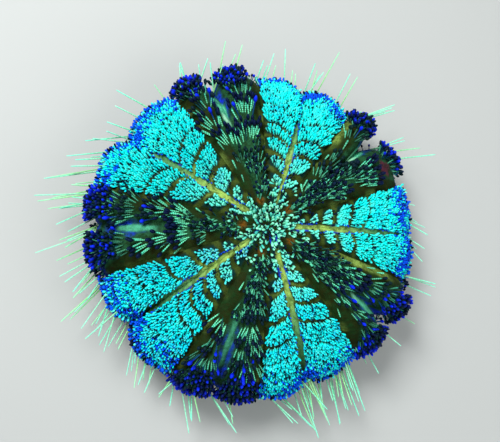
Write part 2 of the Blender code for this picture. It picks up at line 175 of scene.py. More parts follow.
BARS = (
    Bar(0.8, 1.0, -0.3, 1.0, -0.5, 0.8, (0.0, 0.5), 6.6, 0.1),
    Bar(0.7, 0.9, 1.4, 1.0, -0.8, 0.15, (2.0, 1.5), 6.0, 0.15),
    Bar(0.65, 0.89, 2.7, 0.6, -0.2, 0.45, (0.0, 0.0), 7.1, 0.8),
    Bar(0.57, 0.88, -1.5, 0.45, 0.7, 0.65, (0.0, 0.0), 8.0, 1.0),
    Bar(0.7, 0.98, -1.9, 0.7, 0.1, 0.85, (-0.5, -2.6), 7.4, 0.6),
)


@dataclass(frozen=True)
class Tuft:
    """One comb of clubs in a dark field."""

    across: float  # its middle, as a share of the half field, with its sign
    share: float  # of the way to the rim, where its first row stands
    width: float  # in millimetres
    rows: int
    glow: float  # how pale its shafts are, from 0 to 1


TUFTS = tuple(tuple(Tuft(*values) for values in rows) for rows in (
    ((-0.4, 0.25, 4.5, 3, 0.6), (-0.1, 0.34, 5.5, 3, 0.5), (-0.45, 0.4, 4.5, 3, 0.6),
     (0.1, 0.46, 6.0, 3, 0.3), (-0.42, 0.5, 6.0, 2, 1.0), (0.22, 0.58, 5.0, 3, 0.2),
     (-0.18, 0.6, 7.0, 4, 0.3), (-0.44, 0.66, 6.0, 3, 0.5), (-0.5, 0.73, 10.0, 3, 1.0),
     (0.42, 0.8, 5.0, 2, 0.1), (0.45, 0.92, 8.0, 3, 0.2)),
    ((-0.5, 0.22, 4.5, 3, 0.7), (-0.55, 0.31, 5.0, 3, 0.4), (-0.5, 0.4, 5.5, 2, 0.3),
     (0.05, 0.43, 5.0, 2, 0.1), (-0.12, 0.565, 15.0, 3, 1.0), (0.52, 0.68, 6.0, 3, 0.9),
     (-0.46, 0.72, 8.0, 3, 1.0), (0.5, 0.8, 6.0, 2, 0.5), (-0.5, 0.83, 7.0, 2, 0.4),
     (0.52, 0.9, 7.0, 3, 0.3), (-0.45, 0.91, 8.0, 3, 0.3)),
    ((-0.1, 0.22, 4.5, 3, 0.7), (0.35, 0.28, 4.0, 2, 0.5), (-0.2, 0.34, 5.0, 2, 0.4),
     (0.2, 0.4, 6.0, 2, 0.3), (-0.32, 0.51, 7.5, 3, 1.0), (0.22, 0.5, 8.5, 3, 1.0),
     (-0.62, 0.6, 5.0, 2, 0.8), (0.42, 0.61, 5.0, 2, 0.9), (-0.36, 0.65, 8.0, 3, 0.4),
     (-0.52, 0.77, 10.0, 3, 0.3), (0.4, 0.73, 8.0, 2, 0.9), (0.44, 0.84, 10.0, 3, 0.15),
     (-0.5, 0.88, 11.0, 3, 0.3), (-0.1, 0.84, 3.5, 2, 0.8)),
    ((0.35, 0.22, 4.0, 3, 0.5), (0.45, 0.31, 5.5, 3, 0.3), (0.25, 0.39, 7.0, 3, 0.4),
     (0.5, 0.47, 7.0, 3, 0.4), (0.0, 0.5, 5.0, 2, 0.5), (-0.72, 0.62, 3.5, 1, 1.0),
     (-0.42, 0.63, 6.5, 2, 0.9), (0.3, 0.62, 8.0, 3, 0.7), (0.66, 0.7, 4.0, 2, 0.8),
     (-0.42, 0.73, 8.0, 3, 0.3), (0.34, 0.75, 8.0, 3, 0.4), (-0.52, 0.83, 10.0, 3, 0.3),
     (0.3, 0.83, 6.0, 2, 0.8), (0.66, 0.85, 6.0, 2, 0.8), (0.45, 0.92, 9.0, 2, 0.3)),
    ((-0.25, 0.23, 4.5, 3, 0.5), (0.3, 0.27, 5.5, 3, 0.4), (-0.1, 0.35, 6.0, 3, 0.4),
     (0.4, 0.38, 6.5, 3, 0.3), (0.1, 0.46, 7.0, 2, 0.4), (-0.3, 0.52, 5.0, 2, 0.9),
     (0.45, 0.54, 4.0, 1, 1.0), (0.28, 0.6, 7.5, 3, 0.9), (-0.22, 0.63, 6.0, 3, 0.7),
     (0.34, 0.73, 8.0, 3, 0.35), (-0.38, 0.75, 7.0, 3, 0.5), (0.42, 0.85, 9.0, 3, 0.25),
     (-0.42, 0.87, 9.0, 3, 0.3)),
))


def smooth(value: Array, low: float | Array, high: float | Array) -> Array:
    """A smooth step from 0 at low to 1 at high.

    Args:
        value: The values to map.
        low: Where the step starts.
        high: Where it ends; it may be below low.

    Returns:
        The mapped values, from 0 to 1.
    """
    t = np.clip((value - low) / (high - low), 0.0, 1.0)
    return t * t * (3.0 - 2.0 * t)


def wander(first: Array, second: Array, seed: float) -> Array:
    """A smooth value that wanders between -1 and 1 over two coordinates in radians."""
    one = np.sin(first + 1.7 * np.sin(0.9 * second + seed))
    return 0.5 * (one + np.sin(1.3 * second + 2.1 * np.sin(0.7 * first + 2.0 * seed)))


def unit(vectors: Array) -> Array:
    """The vectors at length 1."""
    return vectors / np.maximum(np.linalg.norm(vectors, axis=-1, keepdims=True), 1e-12)


def column(rows: tuple[object, ...], key: str) -> Array:
    """One value of each row of a table."""
    return np.array([getattr(row, key) for row in rows])


@dataclass(frozen=True)
class Place:
    """Where some places on the skin lie among the fields."""

    index: Array  # which field
    half: Array  # degrees across the half field
    dark: Array  # whether it is a dark one
    share: Array  # of the way across the half field
    swell: Array  # 0 on a groove to 1 on a lobe
    reach: Array  # of the skin at the rim
    from_middle: Array  # degrees from the field's middle groove, with its sign
    from_border: Array  # degrees from the nearer border
    second: Array  # whether it is the half after the groove
    turn: Array
    out: Array  # share of the way to the rim
    arc: Array  # distance from the apex along the mean section

    @property
    def radius(self) -> Array:
        """Distance from the axis."""
        return self.out * self.reach

    @property
    def lateral(self) -> Array:
        """Signed distance from the field's middle."""
        return self.radius * np.radians(self.from_middle)

    @property
    def margin(self) -> Array:
        """Distance from the nearer border."""
        return self.radius * np.radians(self.from_border)

    @property
    def lobe_lateral(self) -> Array:
        """Signed distance from the middle of the half field, where the lobe is."""
        return self.radius * np.radians((self.share - 0.5) * self.half)

    @property
    def upper(self) -> Array:
        """1 on the upper side, fading below the rim."""
        return smooth(self.turn, 100.0, 88.0)

    @property
    def pale(self) -> Array:
        """1 on the upper side of the pale fields."""
        return np.where(self.dark, 0.0, 1.0) * self.upper


@dataclass(frozen=True)
class BodyShape:
    """The smooth surface under the coat, on the solids' sizes."""

    axis: Pair
    top: float = 49.0 * MM
    ambitus: float = 24.0 * MM
    under: float = 13.0 * MM
    mouth_rise: float = 3.0 * MM
    dome_power: float = 2.35
    under_power: float = 3.2
    lobe_power: float = 0.7
    membrane_radius: float = 22.0 * MM
    mean_reach: float = 82.0 * MM
    knob_rise: float = 3.0 * MM
    knob_place: float = 0.84
    knob_width: float = 0.12
    ridge_rise: float = 0.9 * MM
    ridge_width: float = 2.4 * MM
    inset: float = 0.2 * MM
    crown_shift: Pair = (0.3 * MM, -2.2 * MM)  # the middle of the disc sags to one side
    fringe: Pair = (6.0, 4.0)  # millimetres kept for the coat at the rim, and what dark lobes add
    carve: Pair = (4.6 * MM, 3.4 * MM)  # depth of the grooves of dark and pale fields
    ridge_starts: Pair = (0.1, 0.35)  # shares of the way to the rim
    ridge_ends: Pair = (0.98, 0.8)
    probe: float = 0.6  # degrees between the points that a normal is measured with
    upper_disc: Pair = (0.33, 0.32)  # its centre and radius on the bake map
    lower_disc: Pair = (0.8, 0.19)

    def place(self, angle: Array, turn: Array) -> Place:
        """Finds the field, and the place in it, of each angle and turn.

        Args:
            angle: Degrees round the axis.
            turn: Degrees from the apex.

        Returns:
            The places.
        """
        first = FIELDS[0].start
        turned = first + np.mod(angle - first, FULL_TURN)
        starts = np.append(column(FIELDS, "start"), first + FULL_TURN)
        index = np.clip(np.searchsorted(starts, turned, side="right") - 1, 0, len(FIELDS) - 1)
        start, middle, end = starts[index], column(FIELDS, "middle")[index], starts[index + 1]
        second = turned >= middle
        low, high = np.where(second, middle, start), np.where(second, end, middle)
        share = np.clip((turned - low) / (high - low), 0.0, 1.0)
        swell = np.clip(np.sin(np.pi * share), 0.0, 1.0) ** self.lobe_power
        edges, grooves = column(FIELDS, "edge"), column(FIELDS, "groove")
        edge, next_edge, groove = edges[index], np.roll(edges, -1)[index], grooves[index]
        lobe = np.where(second, column(FIELDS, "lobe_b")[index], column(FIELDS, "lobe_a")[index])
        valley = np.where(second, groove + (next_edge - groove) * share, edge + (groove - edge) * share)
        dark = (column(FIELDS, "kind") == Kind.DARK)[index]
        fringe = self.fringe[0] + np.where(dark, self.fringe[1], 0.0) * swell
        reach = (valley + (lobe - valley) * swell - fringe) * MM - self.inset
        return Place(index, high - low, dark, share, swell, reach, turned - middle,
                     np.minimum(turned - start, end - turned), second, turn, self.radius_share(turn),
                     self.arc(turn))

    def radius_share(self, turn: Array) -> Array:
        """How far out a turn lies, as a share of the rim's reach."""
        power = np.where(turn <= RIM, self.dome_power, self.under_power)
        return np.clip(np.sin(np.radians(turn)), 0.0, 1.0) ** (2.0 / power)

    def turn_at(self, share: float, upper: bool) -> float:
        """The turn at a share of the rim's reach, above or below the rim."""
        power = self.dome_power if upper else self.under_power
        turn = math.degrees(math.asin(min(share, 1.0) ** (power / 2.0)))
        return turn if upper else 2 * RIM - turn

    def dome(self, share: Array) -> Array:
        """How high the upper side is at a share of the rim's reach, from 1 at the apex to 0 at the rim."""
        return np.clip(1.0 - share**self.dome_power, 0.0, 1.0) ** (1.0 / self.dome_power)

    def bowl(self, share: Array) -> Array:
        """How deep the lower side is, in the same way."""
        return np.clip(1.0 - share**self.under_power, 0.0, 1.0) ** (1.0 / self.under_power)

    def heights(self, place: Place) -> Array:
        """The height of the skin above the floor."""
        share = place.out
        carved = np.where(place.dark, *self.carve) * (1.0 - place.swell) * share * (1.0 - share**4)
        hump = np.exp(-(((share - self.knob_place) / self.knob_width) ** 2))
        knob = np.where(place.dark, self.knob_rise, 0.0) * place.swell * hump
        ridge = self.ridge_rise * np.exp(-((place.lateral / self.ridge_width) ** 2))
        ridge = ridge * smooth(share, *self.ridge_starts) * smooth(share, *self.ridge_ends)
        above = self.ambitus + (self.top - self.ambitus) * self.dome(share)
        above = above - carved + knob + ridge - self.inset
        bowl = self.bowl(share)
        below = self.ambitus - (self.ambitus - self.under) * bowl + self.mouth_rise * (1.0 - share) ** 2
        return np.where(place.turn <= RIM, above, below + self.inset * bowl)

    def point(self, angle: Array, turn: Array) -> Array:
        """The skin's points at some angles and turns, in the part's frame."""
        place, around = self.place(angle, turn), np.radians(angle)
        sag = np.where(turn <= RIM, 1.0 - place.out, 0.0)
        x = self.axis[0] + self.crown_shift[0] * sag + place.radius * np.cos(around)
        y = self.axis[1] + self.crown_shift[1] * sag + place.radius * np.sin(around)
        return np.stack([x, y, self.heights(place)], axis=-1)

    def frame_at(self, angle: Array, turn: Array) -> tuple[Array, Array, Array, Array]:
        """The skin's point, outward normal, way out from the axis, and way round it.

        Args:
            angle: Degrees round the axis.
            turn: Degrees from the apex.

        Returns:
            Points, normals, directions towards the rim, and sideways directions.
        """
        step = self.probe
        high = np.minimum(turn + step, 2 * RIM - step)
        low = np.maximum(turn - step, step * 0.5)
        across = self.point(angle + step, turn) - self.point(angle - step, turn)
        along = self.point(angle, high) - self.point(angle, low)
        normal = unit(np.cross(along, across))
        outward = unit(along) * np.where(turn <= RIM, 1.0, -1.0)[..., None]
        return self.point(angle, turn), normal, outward, unit(np.cross(normal, outward))

    def arc_table(self) -> tuple[Array, Array]:
        """Turns, and the distance to each along the mean section from the apex."""
        turns = np.linspace(0.0, LAST_TURN, 720)
        share = self.radius_share(turns)
        height = np.where(turns <= RIM, (self.top - self.ambitus) * self.dome(share),
                          -(self.ambitus - self.under) * self.bowl(share))
        steps = np.hypot(np.diff(share * self.mean_reach), np.diff(height))
        return turns, np.concatenate([[0.0], np.cumsum(steps)])

    def arc(self, turn: Array) -> Array:
        """Distance from the apex along the mean section."""
        turns, arcs = self.arc_table()
        return np.interp(turn, turns, arcs)

    def arc_at(self, turn: float) -> float:
        """Distance from the apex to one turn."""
        return float(self.arc(np.array(turn)))

    def reach_at(self, angle: float) -> float:
        """The skin's reach at the rim at one angle."""
        return float(self.place(np.array([angle]), np.array([RIM])).reach[0])

    def turn_of(self, arc: Array) -> Array:
        """The turn at a distance from the apex along the mean section."""
        turns, arcs = self.arc_table()
        return np.interp(arc, arcs, turns)

    def unwrap(self, angle: Array, turn: Array) -> Array:
        """The bake map's place: a large disc for the upper side and a small one for the lower."""
        upper = turn <= RIM
        spread = np.where(upper, self.upper_disc[1] * turn / RIM, self.lower_disc[1] * (2 * RIM - turn) / RIM)
        centre = np.where(upper, self.upper_disc[0], self.lower_disc[0])
        around = np.radians(angle)
        return np.stack([centre + spread * np.cos(around), centre + spread * np.sin(around)], axis=-1)


@dataclass(frozen=True)
class Markings:
    """The pattern that skin and coat share, as masks from 0 to 1.

    Most pairs are the two ends of a smooth step. Shares are of the way to the rim.
    """

    shape: BodyShape
    chevron: float = 0.36  # how far a cross band leans outwards as it leaves the middle
    half_field: float = 10.0  # degrees from a pale field's middle to where BANDS are measured
    waver: float = 0.6 * MM  # how far a cross band strays
    first_block: float = 10.0 * MM  # from the apex
    longest_block: float = 14.0 * MM
    gap: Pair = (0.55 * MM, 0.75 * MM)  # half a cross band's width, and its gain further in
    gap_widens: Pair = (58.0 * MM, 36.0 * MM)
    gap_fades: Pair = (78.0 * MM, 48.0 * MM)
    gap_at_rim: float = 0.34  # how plainly the cross bands show there
    band_half: float = 1.35 * MM  # half the bare olive band along a pale field's middle
    band_starts: Pair = (0.13, 0.2)
    cleft: Pair = (0.6, 0.94)  # shares over which a band that reaches the rim darkens
    short_cleft: Pair = (0.84, 0.96)
    bar_half: float = 1.6 * MM  # half the pale bar along a dark field's middle
    pearl: Pair = (2.0 * MM, 0.5 * MM)
    rim: tuple[Pair, Pair] = ((74.0, 84.0), (112.0, 98.0))  # turns where its blue begins and ends
    rust_at: float = 13.2 * MM  # from the apex to the middle of each rust spot
    rust: Pair = (3.0 * MM, 0.8 * MM)
    plum_at: Pair = (25.5, 0.88)  # the bare purple spot on one lobe: its angle and share
    plum_size: float = 5.0 * MM

    def of_bar(self, place: Place, key: str) -> Array:
        """One value of the bars in the fields of some places."""
        return column(BARS, key)[place.index // 2]

    def from_bar(self, place: Place) -> Array:
        """Distance from the bar's middle line, or a long way where there's no bar."""
        share = place.out
        beside = np.abs(place.lateral - self.of_bar(place, "offset") * MM)
        along = (share > self.of_bar(place, "begin") - 0.03) & (share < self.of_bar(place, "end") + 0.01)
        return np.where(along, beside, FAR)

    def from_plum(self, angle: Array, turn: Array) -> Array:
        """Distance from the bare purple spot's middle, or a long way on the lower side."""
        place = self.shape.place(angle, turn)
        out = (place.out - self.plum_at[1]) * place.reach
        beside = place.radius * np.radians(angle - self.plum_at[0])
        return np.where(turn <= RIM, np.hypot(out, beside), FAR)

    def band_levels(self) -> Array:
        """How far out each half field's cross bands lie along the skin, where they meet the middle."""
        most = max(len(half) for band in BANDS for half in (band.first, band.second))
        levels = np.full((len(BANDS), 2, most), FAR)
        for number, band in enumerate(BANDS):
            for side, half in enumerate((band.first, band.second)):
                for k, share in enumerate(half):
                    beside = share * self.shape.mean_reach * math.radians(self.half_field)
                    arc = self.shape.arc_at(self.shape.turn_at(share, True))
                    levels[number, side, k] = arc - self.chevron * beside
        return levels

    def cross_bands(self, place: Place) -> tuple[Array, Array]:
        """Finds the cross bands round some places.

        Args:
            place: Where the places lie.

        Returns:
            Distance outwards from the nearest band's middle, and how far through its block each place is.
        """
        lateral, arc = place.lateral, place.arc
        wave = self.waver * wander(lateral / (2.5 * MM), arc / (9.0 * MM), place.index * 1.3 + place.second)
        here = arc - self.chevron * np.abs(lateral) + wave
        levels = self.band_levels()[place.index // 2, place.second.astype(int)]
        apart = here[..., None] - levels
        nearest = np.take_along_axis(apart, np.abs(apart).argmin(-1)[..., None], -1)[..., 0]
        inner = np.where(apart >= 0.0, levels, self.first_block).max(-1)
        outer = np.where(apart < 0.0, levels, FAR).min(-1)
        outer = np.minimum(outer, inner + self.longest_block)
        return nearest, np.clip((here - inner) / np.maximum(outer - inner, 1.0 * MM), 0.0, 1.0)

    def gap_half(self, place: Place) -> Array:
        """Half a cross band's width."""
        return self.gap[0] + self.gap[1] * smooth(place.arc, *self.gap_widens)

    def band_strength(self, place: Place) -> Array:
        """How plainly the cross bands show: they fade towards the rim."""
        return self.gap_at_rim + (1.0 - self.gap_at_rim) * smooth(place.arc, *self.gap_fades)

    def band_width(self, place: Place) -> Array:
        """Half the olive band's width."""
        share = place.out
        end, inner, outer = (column(BANDS, key)[place.index // 2] for key in ("end", "inner", "outer"))
        wave = 1.0 + 0.14 * np.sin(place.arc / (1.9 * MM))
        wave = wave * (inner + (1.0 - inner) * smooth(share, 0.22, 0.48))
        wide = self.band_half * wave * (1.0 + (outer - 1.0) * smooth(share, 0.3, 0.8))
        return wide * smooth(share, end, end - 0.1)

    def bare_margin(self, place: Place) -> Array:
        """Width of the bare brown margin of a dark field, which widens in two steps on the way out."""
        share, arc = place.out, place.arc
        side = np.where(place.second, 1.0, -1.0)
        wave = 1.0 + 0.34 * wander(arc / (4.2 * MM), place.index * 3.8 + 1.9 * side, 0.4)
        wave = wave * (1.0 - 0.42 * self.of_bar(place, "heavy") * side)
        wide = 1.3 + 2.5 * smooth(share, 0.14, 0.42) + 2.6 * smooth(share, 0.46, 0.66)
        return wide * smooth(share, 1.06, 0.8) * MM * wave

    def ragged_edge(self, place: Place) -> Array:
        """Where the blades of a pale field stop short of its border: each block is rounded there."""
        _, through = self.cross_bands(place)
        further_in = smooth(place.out, 0.85, 0.4)
        return (1.1 + 1.2 * further_in + (0.5 + 1.2 * further_in) * (2.0 * through - 1.0) ** 2) * MM

    def pale_masks(self, place: Place) -> dict[str, Array]:
        """The bare olive band of a pale field, the dark knots on it and the cross bands beside it."""
        share, lateral, pale = place.out, np.abs(place.lateral), place.pale
        width, half_gap = self.band_width(place), self.gap_half(place)
        midline = pale * smooth(lateral, width + 0.6 * MM, width - 0.2 * MM) * (width > 0.2 * MM)
        midline = midline * smooth(share, *self.band_starts)
        apart = np.abs(self.cross_bands(place)[0])
        reaches_rim = column(BANDS, "end")[place.index // 2] >= 1.0
        cleft = np.where(reaches_rim, smooth(share, *self.cleft), smooth(share, *self.short_cleft))
        knot = np.maximum(0.8 * smooth(apart, 1.6 * MM, 0.3 * MM), cleft) * midline
        gap = pale * self.band_strength(place) * smooth(apart, half_gap + 0.5 * MM, half_gap - 0.2 * MM)
        return {"midline": midline, "knot": knot, "gap": gap}

    def patches(self, place: Place, gap: Array) -> Array:
        """The yellow branches of the olive bands, blotches on the brown margins, and two larger patches.

        Args:
            place: Where the places lie.
            gap: The mask of the cross bands.

        Returns:
            The mask.
        """
        share, arc = place.out, place.arc
        lateral, margin = np.abs(place.lateral), place.margin
        apart = np.abs(self.cross_bands(place)[0])
        branch = place.pale * smooth(apart, 1.0 * MM, 0.4 * MM) * smooth(lateral, 9.5 * MM, 3.0 * MM) * 0.8
        branch = branch * smooth(share, 0.34, 0.4) * smooth(share, 0.68, 0.6)
        beside = smooth(margin, 4.5 * MM, 2.0 * MM)
        blotch = smooth(wander(arc / (3.0 * MM), place.index * 2.0 + place.second, 0.9), 0.0, 0.6)
        on_margin = 0.35 * place.dark * smooth(margin, 3.0 * MM, 0.4 * MM) * blotch * smooth(share, 0.3, 0.5)
        stripe = (place.index == len(FIELDS) - 1) & place.second
        along_stripe = smooth(share, 0.36, 0.46) * smooth(share, 0.92, 0.8)
        stripe = stripe * along_stripe * smooth(margin, 4.6 * MM, 2.6 * MM) * (0.7 + 0.3 * blotch)
        shelf = 0.6 * ((place.index == 1) & place.second) * smooth(share, 0.62, 0.78) * beside
        return np.clip(branch + 0.12 * gap * beside + on_margin + stripe + shelf, 0.0, 1.0)

    def bar_masks(self, place: Place) -> dict[str, Array]:
        """The pale bar along a dark field's middle, the pearl at its inner end and its ragged blue flanks."""
        share, arc, upper, sideways = place.out, place.arc, place.upper, place.lateral
        begin, end, glow = (self.of_bar(place, key) for key in ("begin", "end", "glow"))
        beside = np.abs(sideways - self.of_bar(place, "offset") * MM)
        half = self.bar_half * (0.7 + 0.3 * glow) * (1.0 + 0.25 * np.sin(arc / (2.3 * MM) + place.index))
        bar = place.dark * upper * smooth(share, begin - 0.02, begin + 0.03) * smooth(share, end, end - 0.05)
        aqua = bar * smooth(beside, half + 0.6 * MM, half - 0.5 * MM) * glow
        pearl = smooth(np.hypot((share - begin - 0.03) * 42.0 * MM, beside), *self.pearl)
        pearl = 0.75 * pearl * place.dark * smooth(glow, 0.6, 0.9)
        flank = place.dark * smooth(share, begin + 0.03, begin + 0.09)
        flank = flank * smooth(share, end + 0.07, end + 0.02) * upper
        ragged = 1.0 + 0.6 * wander(arc / (1.6 * MM), place.index * 2.3 + place.second, 0.2)
        blue = flank * smooth(beside, half - 0.2 * MM, half + 0.4 * MM)
        blue = blue * smooth(beside, half + 2.4 * MM * ragged, half + 1.2 * MM * ragged)
        patchy = wander(arc / (1.3 * MM), np.abs(sideways) / (1.4 * MM), place.index * 0.8)
        blue = blue * (0.25 + 0.75 * smooth(patchy, -0.5, 0.3))
        blue = blue * (0.3 + 0.7 * smooth(share, begin + 0.02, end))
        outer_end = flank * smooth(share, end - 0.02, end + 0.02) * smooth(beside, 3.8 * MM, 2.4 * MM)
        return {"aqua": aqua, "pearl": pearl, "blue": np.maximum(blue, outer_end)}

    def masks(self, angle: Array, turn: Array) -> dict[str, Array]:
        """The markings at some places.

        Args:
            angle: Degrees round the axis.
            turn: Degrees from the apex.

        Returns:
            A mask for each marking, by name.
        """
        place = self.shape.place(angle, turn)
        arc, upper, margin, lateral = place.arc, place.upper, place.margin, np.abs(place.lateral)
        found = {"dark": np.where(place.dark, 1.0, 0.0), **self.pale_masks(place)}
        bare = self.bare_margin(place)
        brown = smooth(margin, bare + 2.2 * MM, bare)
        found["brown"] = np.where(place.dark, brown, smooth(margin, 2.2 * MM, 0.6 * MM)) * upper
        found["patch"] = self.patches(place, found["gap"])
        found.update(self.bar_masks(place))
        found["fresh"] = smooth(place.out, 0.35, 0.75)
        begins, ends = self.rim
        along_rim = smooth(turn, *begins) * smooth(turn, *ends)
        bead = place.pale * smooth(np.abs(lateral - self.band_width(place) - 0.5 * MM), 0.8 * MM, 0.3 * MM)
        bead = bead * smooth(wander(arc / (2.7 * MM), place.index * 2.0 + place.second, 1.9), 0.0, 0.7)
        found["blue"] = np.maximum(np.maximum(found["blue"], along_rim * 0.9), bead)
        found["spot"] = place.dark * smooth(np.hypot(arc - self.rust_at, lateral * 1.1), *self.rust)
        flush = place.dark * smooth(margin, bare - 0.5 * MM, bare + 1.5 * MM) * upper
        found["flush"] = np.maximum(flush, smooth(arc, 14.0 * MM, 9.0 * MM))
        frayed = 1.0 + 0.35 * wander(np.radians(angle) * 40.0, arc / (1.2 * MM), 0.5)
        found["plum"] = smooth(self.from_plum(angle, turn) * frayed, self.plum_size, 0.5 * self.plum_size)
        found["under"] = smooth(turn, 92.0, 112.0)
        return found


@dataclass(frozen=True)
class Profile:
    """A spine's outline: its radius, as a share of its width, at shares of its length."""

    stations: tuple[Pair, ...]
    sides: int
    flat: float = 1.0  # thickness as a share of the width
    paint: float = 1.0  # how much of the finish's ramp runs along it


def ribbed_club() -> Profile:
    """A thin shaft with raised rings, under a round bulb."""
    first, pitch, low, high = 0.02, 0.058, 0.3, 0.42
    shaft = [(first + pitch * k, high if k % 2 else low) for k in range(11)]
    bulb = [(0.65, 0.36), (0.7, 0.66), (0.76, 0.92), (0.83, 1.0), (0.91, 0.84), (0.975, 0.46)]
    return Profile(((-0.08, low), *shaft, *bulb), 6)


BLADE = Profile(((-0.14, 0.55), (0.24, 0.7), (0.54, 0.92), (0.78, 1.0), (0.93, 0.78), (0.988, 0.34)),
                6, 0.8)
PETAL = Profile(((-0.14, 0.4), (0.14, 0.56), (0.42, 0.9), (0.7, 1.0), (0.9, 0.78), (0.985, 0.34)),
                8, 0.5)
FLECK = Profile(BLADE.stations, 6, 0.8, 0.5)
CLUB = ribbed_club()
GLOBE = Profile(((-0.1, 0.42), (0.3, 0.36), (0.56, 0.4), (0.63, 0.66), (0.7, 0.92), (0.8, 1.0),
                 (0.9, 0.86), (0.975, 0.46)), 7)
DOT = Profile(((-0.1, 0.36), (0.52, 0.36), (0.66, 0.84), (0.8, 1.0), (0.93, 0.74), (0.985, 0.32)), 6)
NEEDLE = Profile(((-0.05, 1.15), (0.0, 1.2), (0.02, 1.0), (0.35, 0.96), (0.75, 0.88), (0.95, 0.76),
                  (0.992, 0.5)), 8)
FOOT = Profile(((-0.1, 0.5), (0.12, 0.44), (0.55, 0.4), (0.8, 0.42), (0.88, 0.62), (0.95, 0.92),
                (0.995, 1.0)), 8)
TUBE = Profile(((-0.1, 0.62), (0.3, 0.5), (0.7, 0.46), (0.9, 0.52), (0.93, 1.0), (0.98, 1.0)), 7)
PLATE = Profile(((-0.05, 0.7), (0.2, 0.9), (0.55, 1.0), (0.82, 0.9), (0.96, 0.62)), 12, 0.18)


@dataclass
class Spines:
    """Many spines of one outline, as arrays with a row for each."""

    profile: Profile
    root: Array
    aim: Array
    side: Array
    length: Array
    width: Array
    place: Array  # on the bake map
    sag: Array  # how far the tip bends, as a vector
    tint: Array  # a random value for each
    shade: Array  # 0 for the plain colours, a half for royal blue, 1 for black

    def keep(self, chosen: Array) -> "Spines":
        """The spines that a mask or index chooses."""
        return Spines(self.profile, *[getattr(self, name)[chosen] for name in (
            "root", "aim", "side", "length", "width", "place", "sag", "tint", "shade")])


def ring_quads(levels: int, sides: int) -> Array:
    """The corners of the quads between rings of points, one ring after the other."""
    rows, k = sides * np.arange(levels - 1)[:, None], np.arange(sides)
    after = (k + 1) % sides
    quads = np.stack([rows + k, rows + sides + k, rows + sides + after, rows + after], -1)
    return quads.reshape(-1, 4)


def spine_arrays(spines: Spines) -> dict[str, Array]:
    """Points, faces, bake map and attributes of some spines.

    Args:
        spines: The spines, all of one outline.

    Returns:
        Arrays by name; faces are given as a list of corners and of corner counts.
    """
    stations = np.array(spines.profile.stations)
    sides, levels, count = spines.profile.sides, len(stations), len(spines.root)
    t, radius = stations[:, 0], stations[:, 1]
    up = np.cross(spines.aim, spines.side)
    reach = spines.aim * spines.length[:, None]
    centre = spines.root[:, None] + reach[:, None] * t[None, :, None]
    centre = centre + spines.sag[:, None] * (np.maximum(t, 0.0) ** 2)[None, :, None]
    around = 2 * np.pi * np.arange(sides) / sides
    ring = spines.side[:, None] * np.cos(around)[None, :, None]
    ring = ring + up[:, None] * (np.sin(around) * spines.profile.flat)[None, :, None]
    scaled = radius[None, :] * spines.width[:, None] * 0.5
    verts = centre[:, :, None] + ring[:, None] * scaled[:, :, None, None]
    tip = spines.root + reach + spines.sag
    points = np.concatenate([verts.reshape(count, -1, 3), tip[:, None]], axis=1)
    each, k = levels * sides + 1, np.arange(sides)
    quads = ring_quads(levels, sides)[:, [0, 3, 2, 1]]
    last = (levels - 1) * sides
    fans = np.stack([last + k, last + (k + 1) % sides, np.full(sides, each - 1)], 1)
    corners = np.concatenate([quads.ravel(), fans.ravel(), k[::-1]])
    totals = np.concatenate([np.full(sides * (levels - 1), 4), np.full(sides, 3), [sides]])
    across = np.tile((np.stack([k, k + 1, k + 1, k], 1) / sides).ravel(), levels - 1)
    high = np.repeat(np.stack([t[:-1], t[:-1], t[1:], t[1:]], 1), sides, axis=0)
    u = np.concatenate([across, (np.stack([k, k + 1, k + 0.5], 1) / sides).ravel(),
                        0.5 + 0.5 * np.cos(around[::-1])])
    v = np.concatenate([high.ravel(), np.tile([t[-1], t[-1], 1.0], sides),
                        0.1 + 0.1 * np.sin(around[::-1])])
    patch = np.stack([u - 0.5, np.clip(v, 0.0, 1.0) - 0.5], 1) * PATCH
    uv = spines.place[:, None] + patch[None]
    along = np.concatenate([np.repeat(np.clip(t, 0.0, 1.0), sides), [1.0]])
    return {
        "points": points.reshape(-1, 3),
        "corners": (corners[None] + (np.arange(count) * each)[:, None]).ravel(),
        "totals": np.tile(totals, count),
        "uv": uv.reshape(-1, 2),
        "along": np.tile(along, count) * spines.profile.paint,
        "tint": np.repeat(spines.tint, each),
        "shade": np.repeat(spines.shade, each),
    }


def build_mesh(name: str, arrays: dict[str, Array], finish: Material) -> Piece:
    """Makes a smooth object from arrays.

    Args:
        name: The piece's name.
        arrays: points, corners, totals and uv, and any number of values for each point.
        finish: Its material.

    Returns:
        The object, linked to the scene.
    """
    mesh = bpy.data.meshes.new(name)
    points, corners, totals = arrays["points"], arrays["corners"], arrays["totals"]
    mesh.vertices.add(len(points))
    mesh.vertices.foreach_set("co", points.astype(np.float32).ravel())
    mesh.loops.add(len(corners))
    mesh.loops.foreach_set("vertex_index", corners.astype(np.int32))
    mesh.polygons.add(len(totals))
    starts = np.concatenate([[0], np.cumsum(totals)[:-1]])
    mesh.polygons.foreach_set("loop_start", starts.astype(np.int32))
    mesh.polygons.foreach_set("use_smooth", np.ones(len(totals), dtype=bool))
    layer = mesh.uv_layers.new(name=BAKE_MAP, do_init=False)
    layer.uv.foreach_set("vector", arrays["uv"].astype(np.float32).ravel())
    for key, values in arrays.items():
        if key not in ("points", "corners", "totals", "uv"):
            mesh.attributes.new(key, "FLOAT", "POINT").data.foreach_set("value", values.astype(np.float32))
    mesh.update(calc_edges=True)
    mesh.validate()
    mesh.materials.append(finish)
    obj = bpy.data.objects.new(name, mesh)
    bpy.context.scene.collection.objects.link(obj)
    return obj


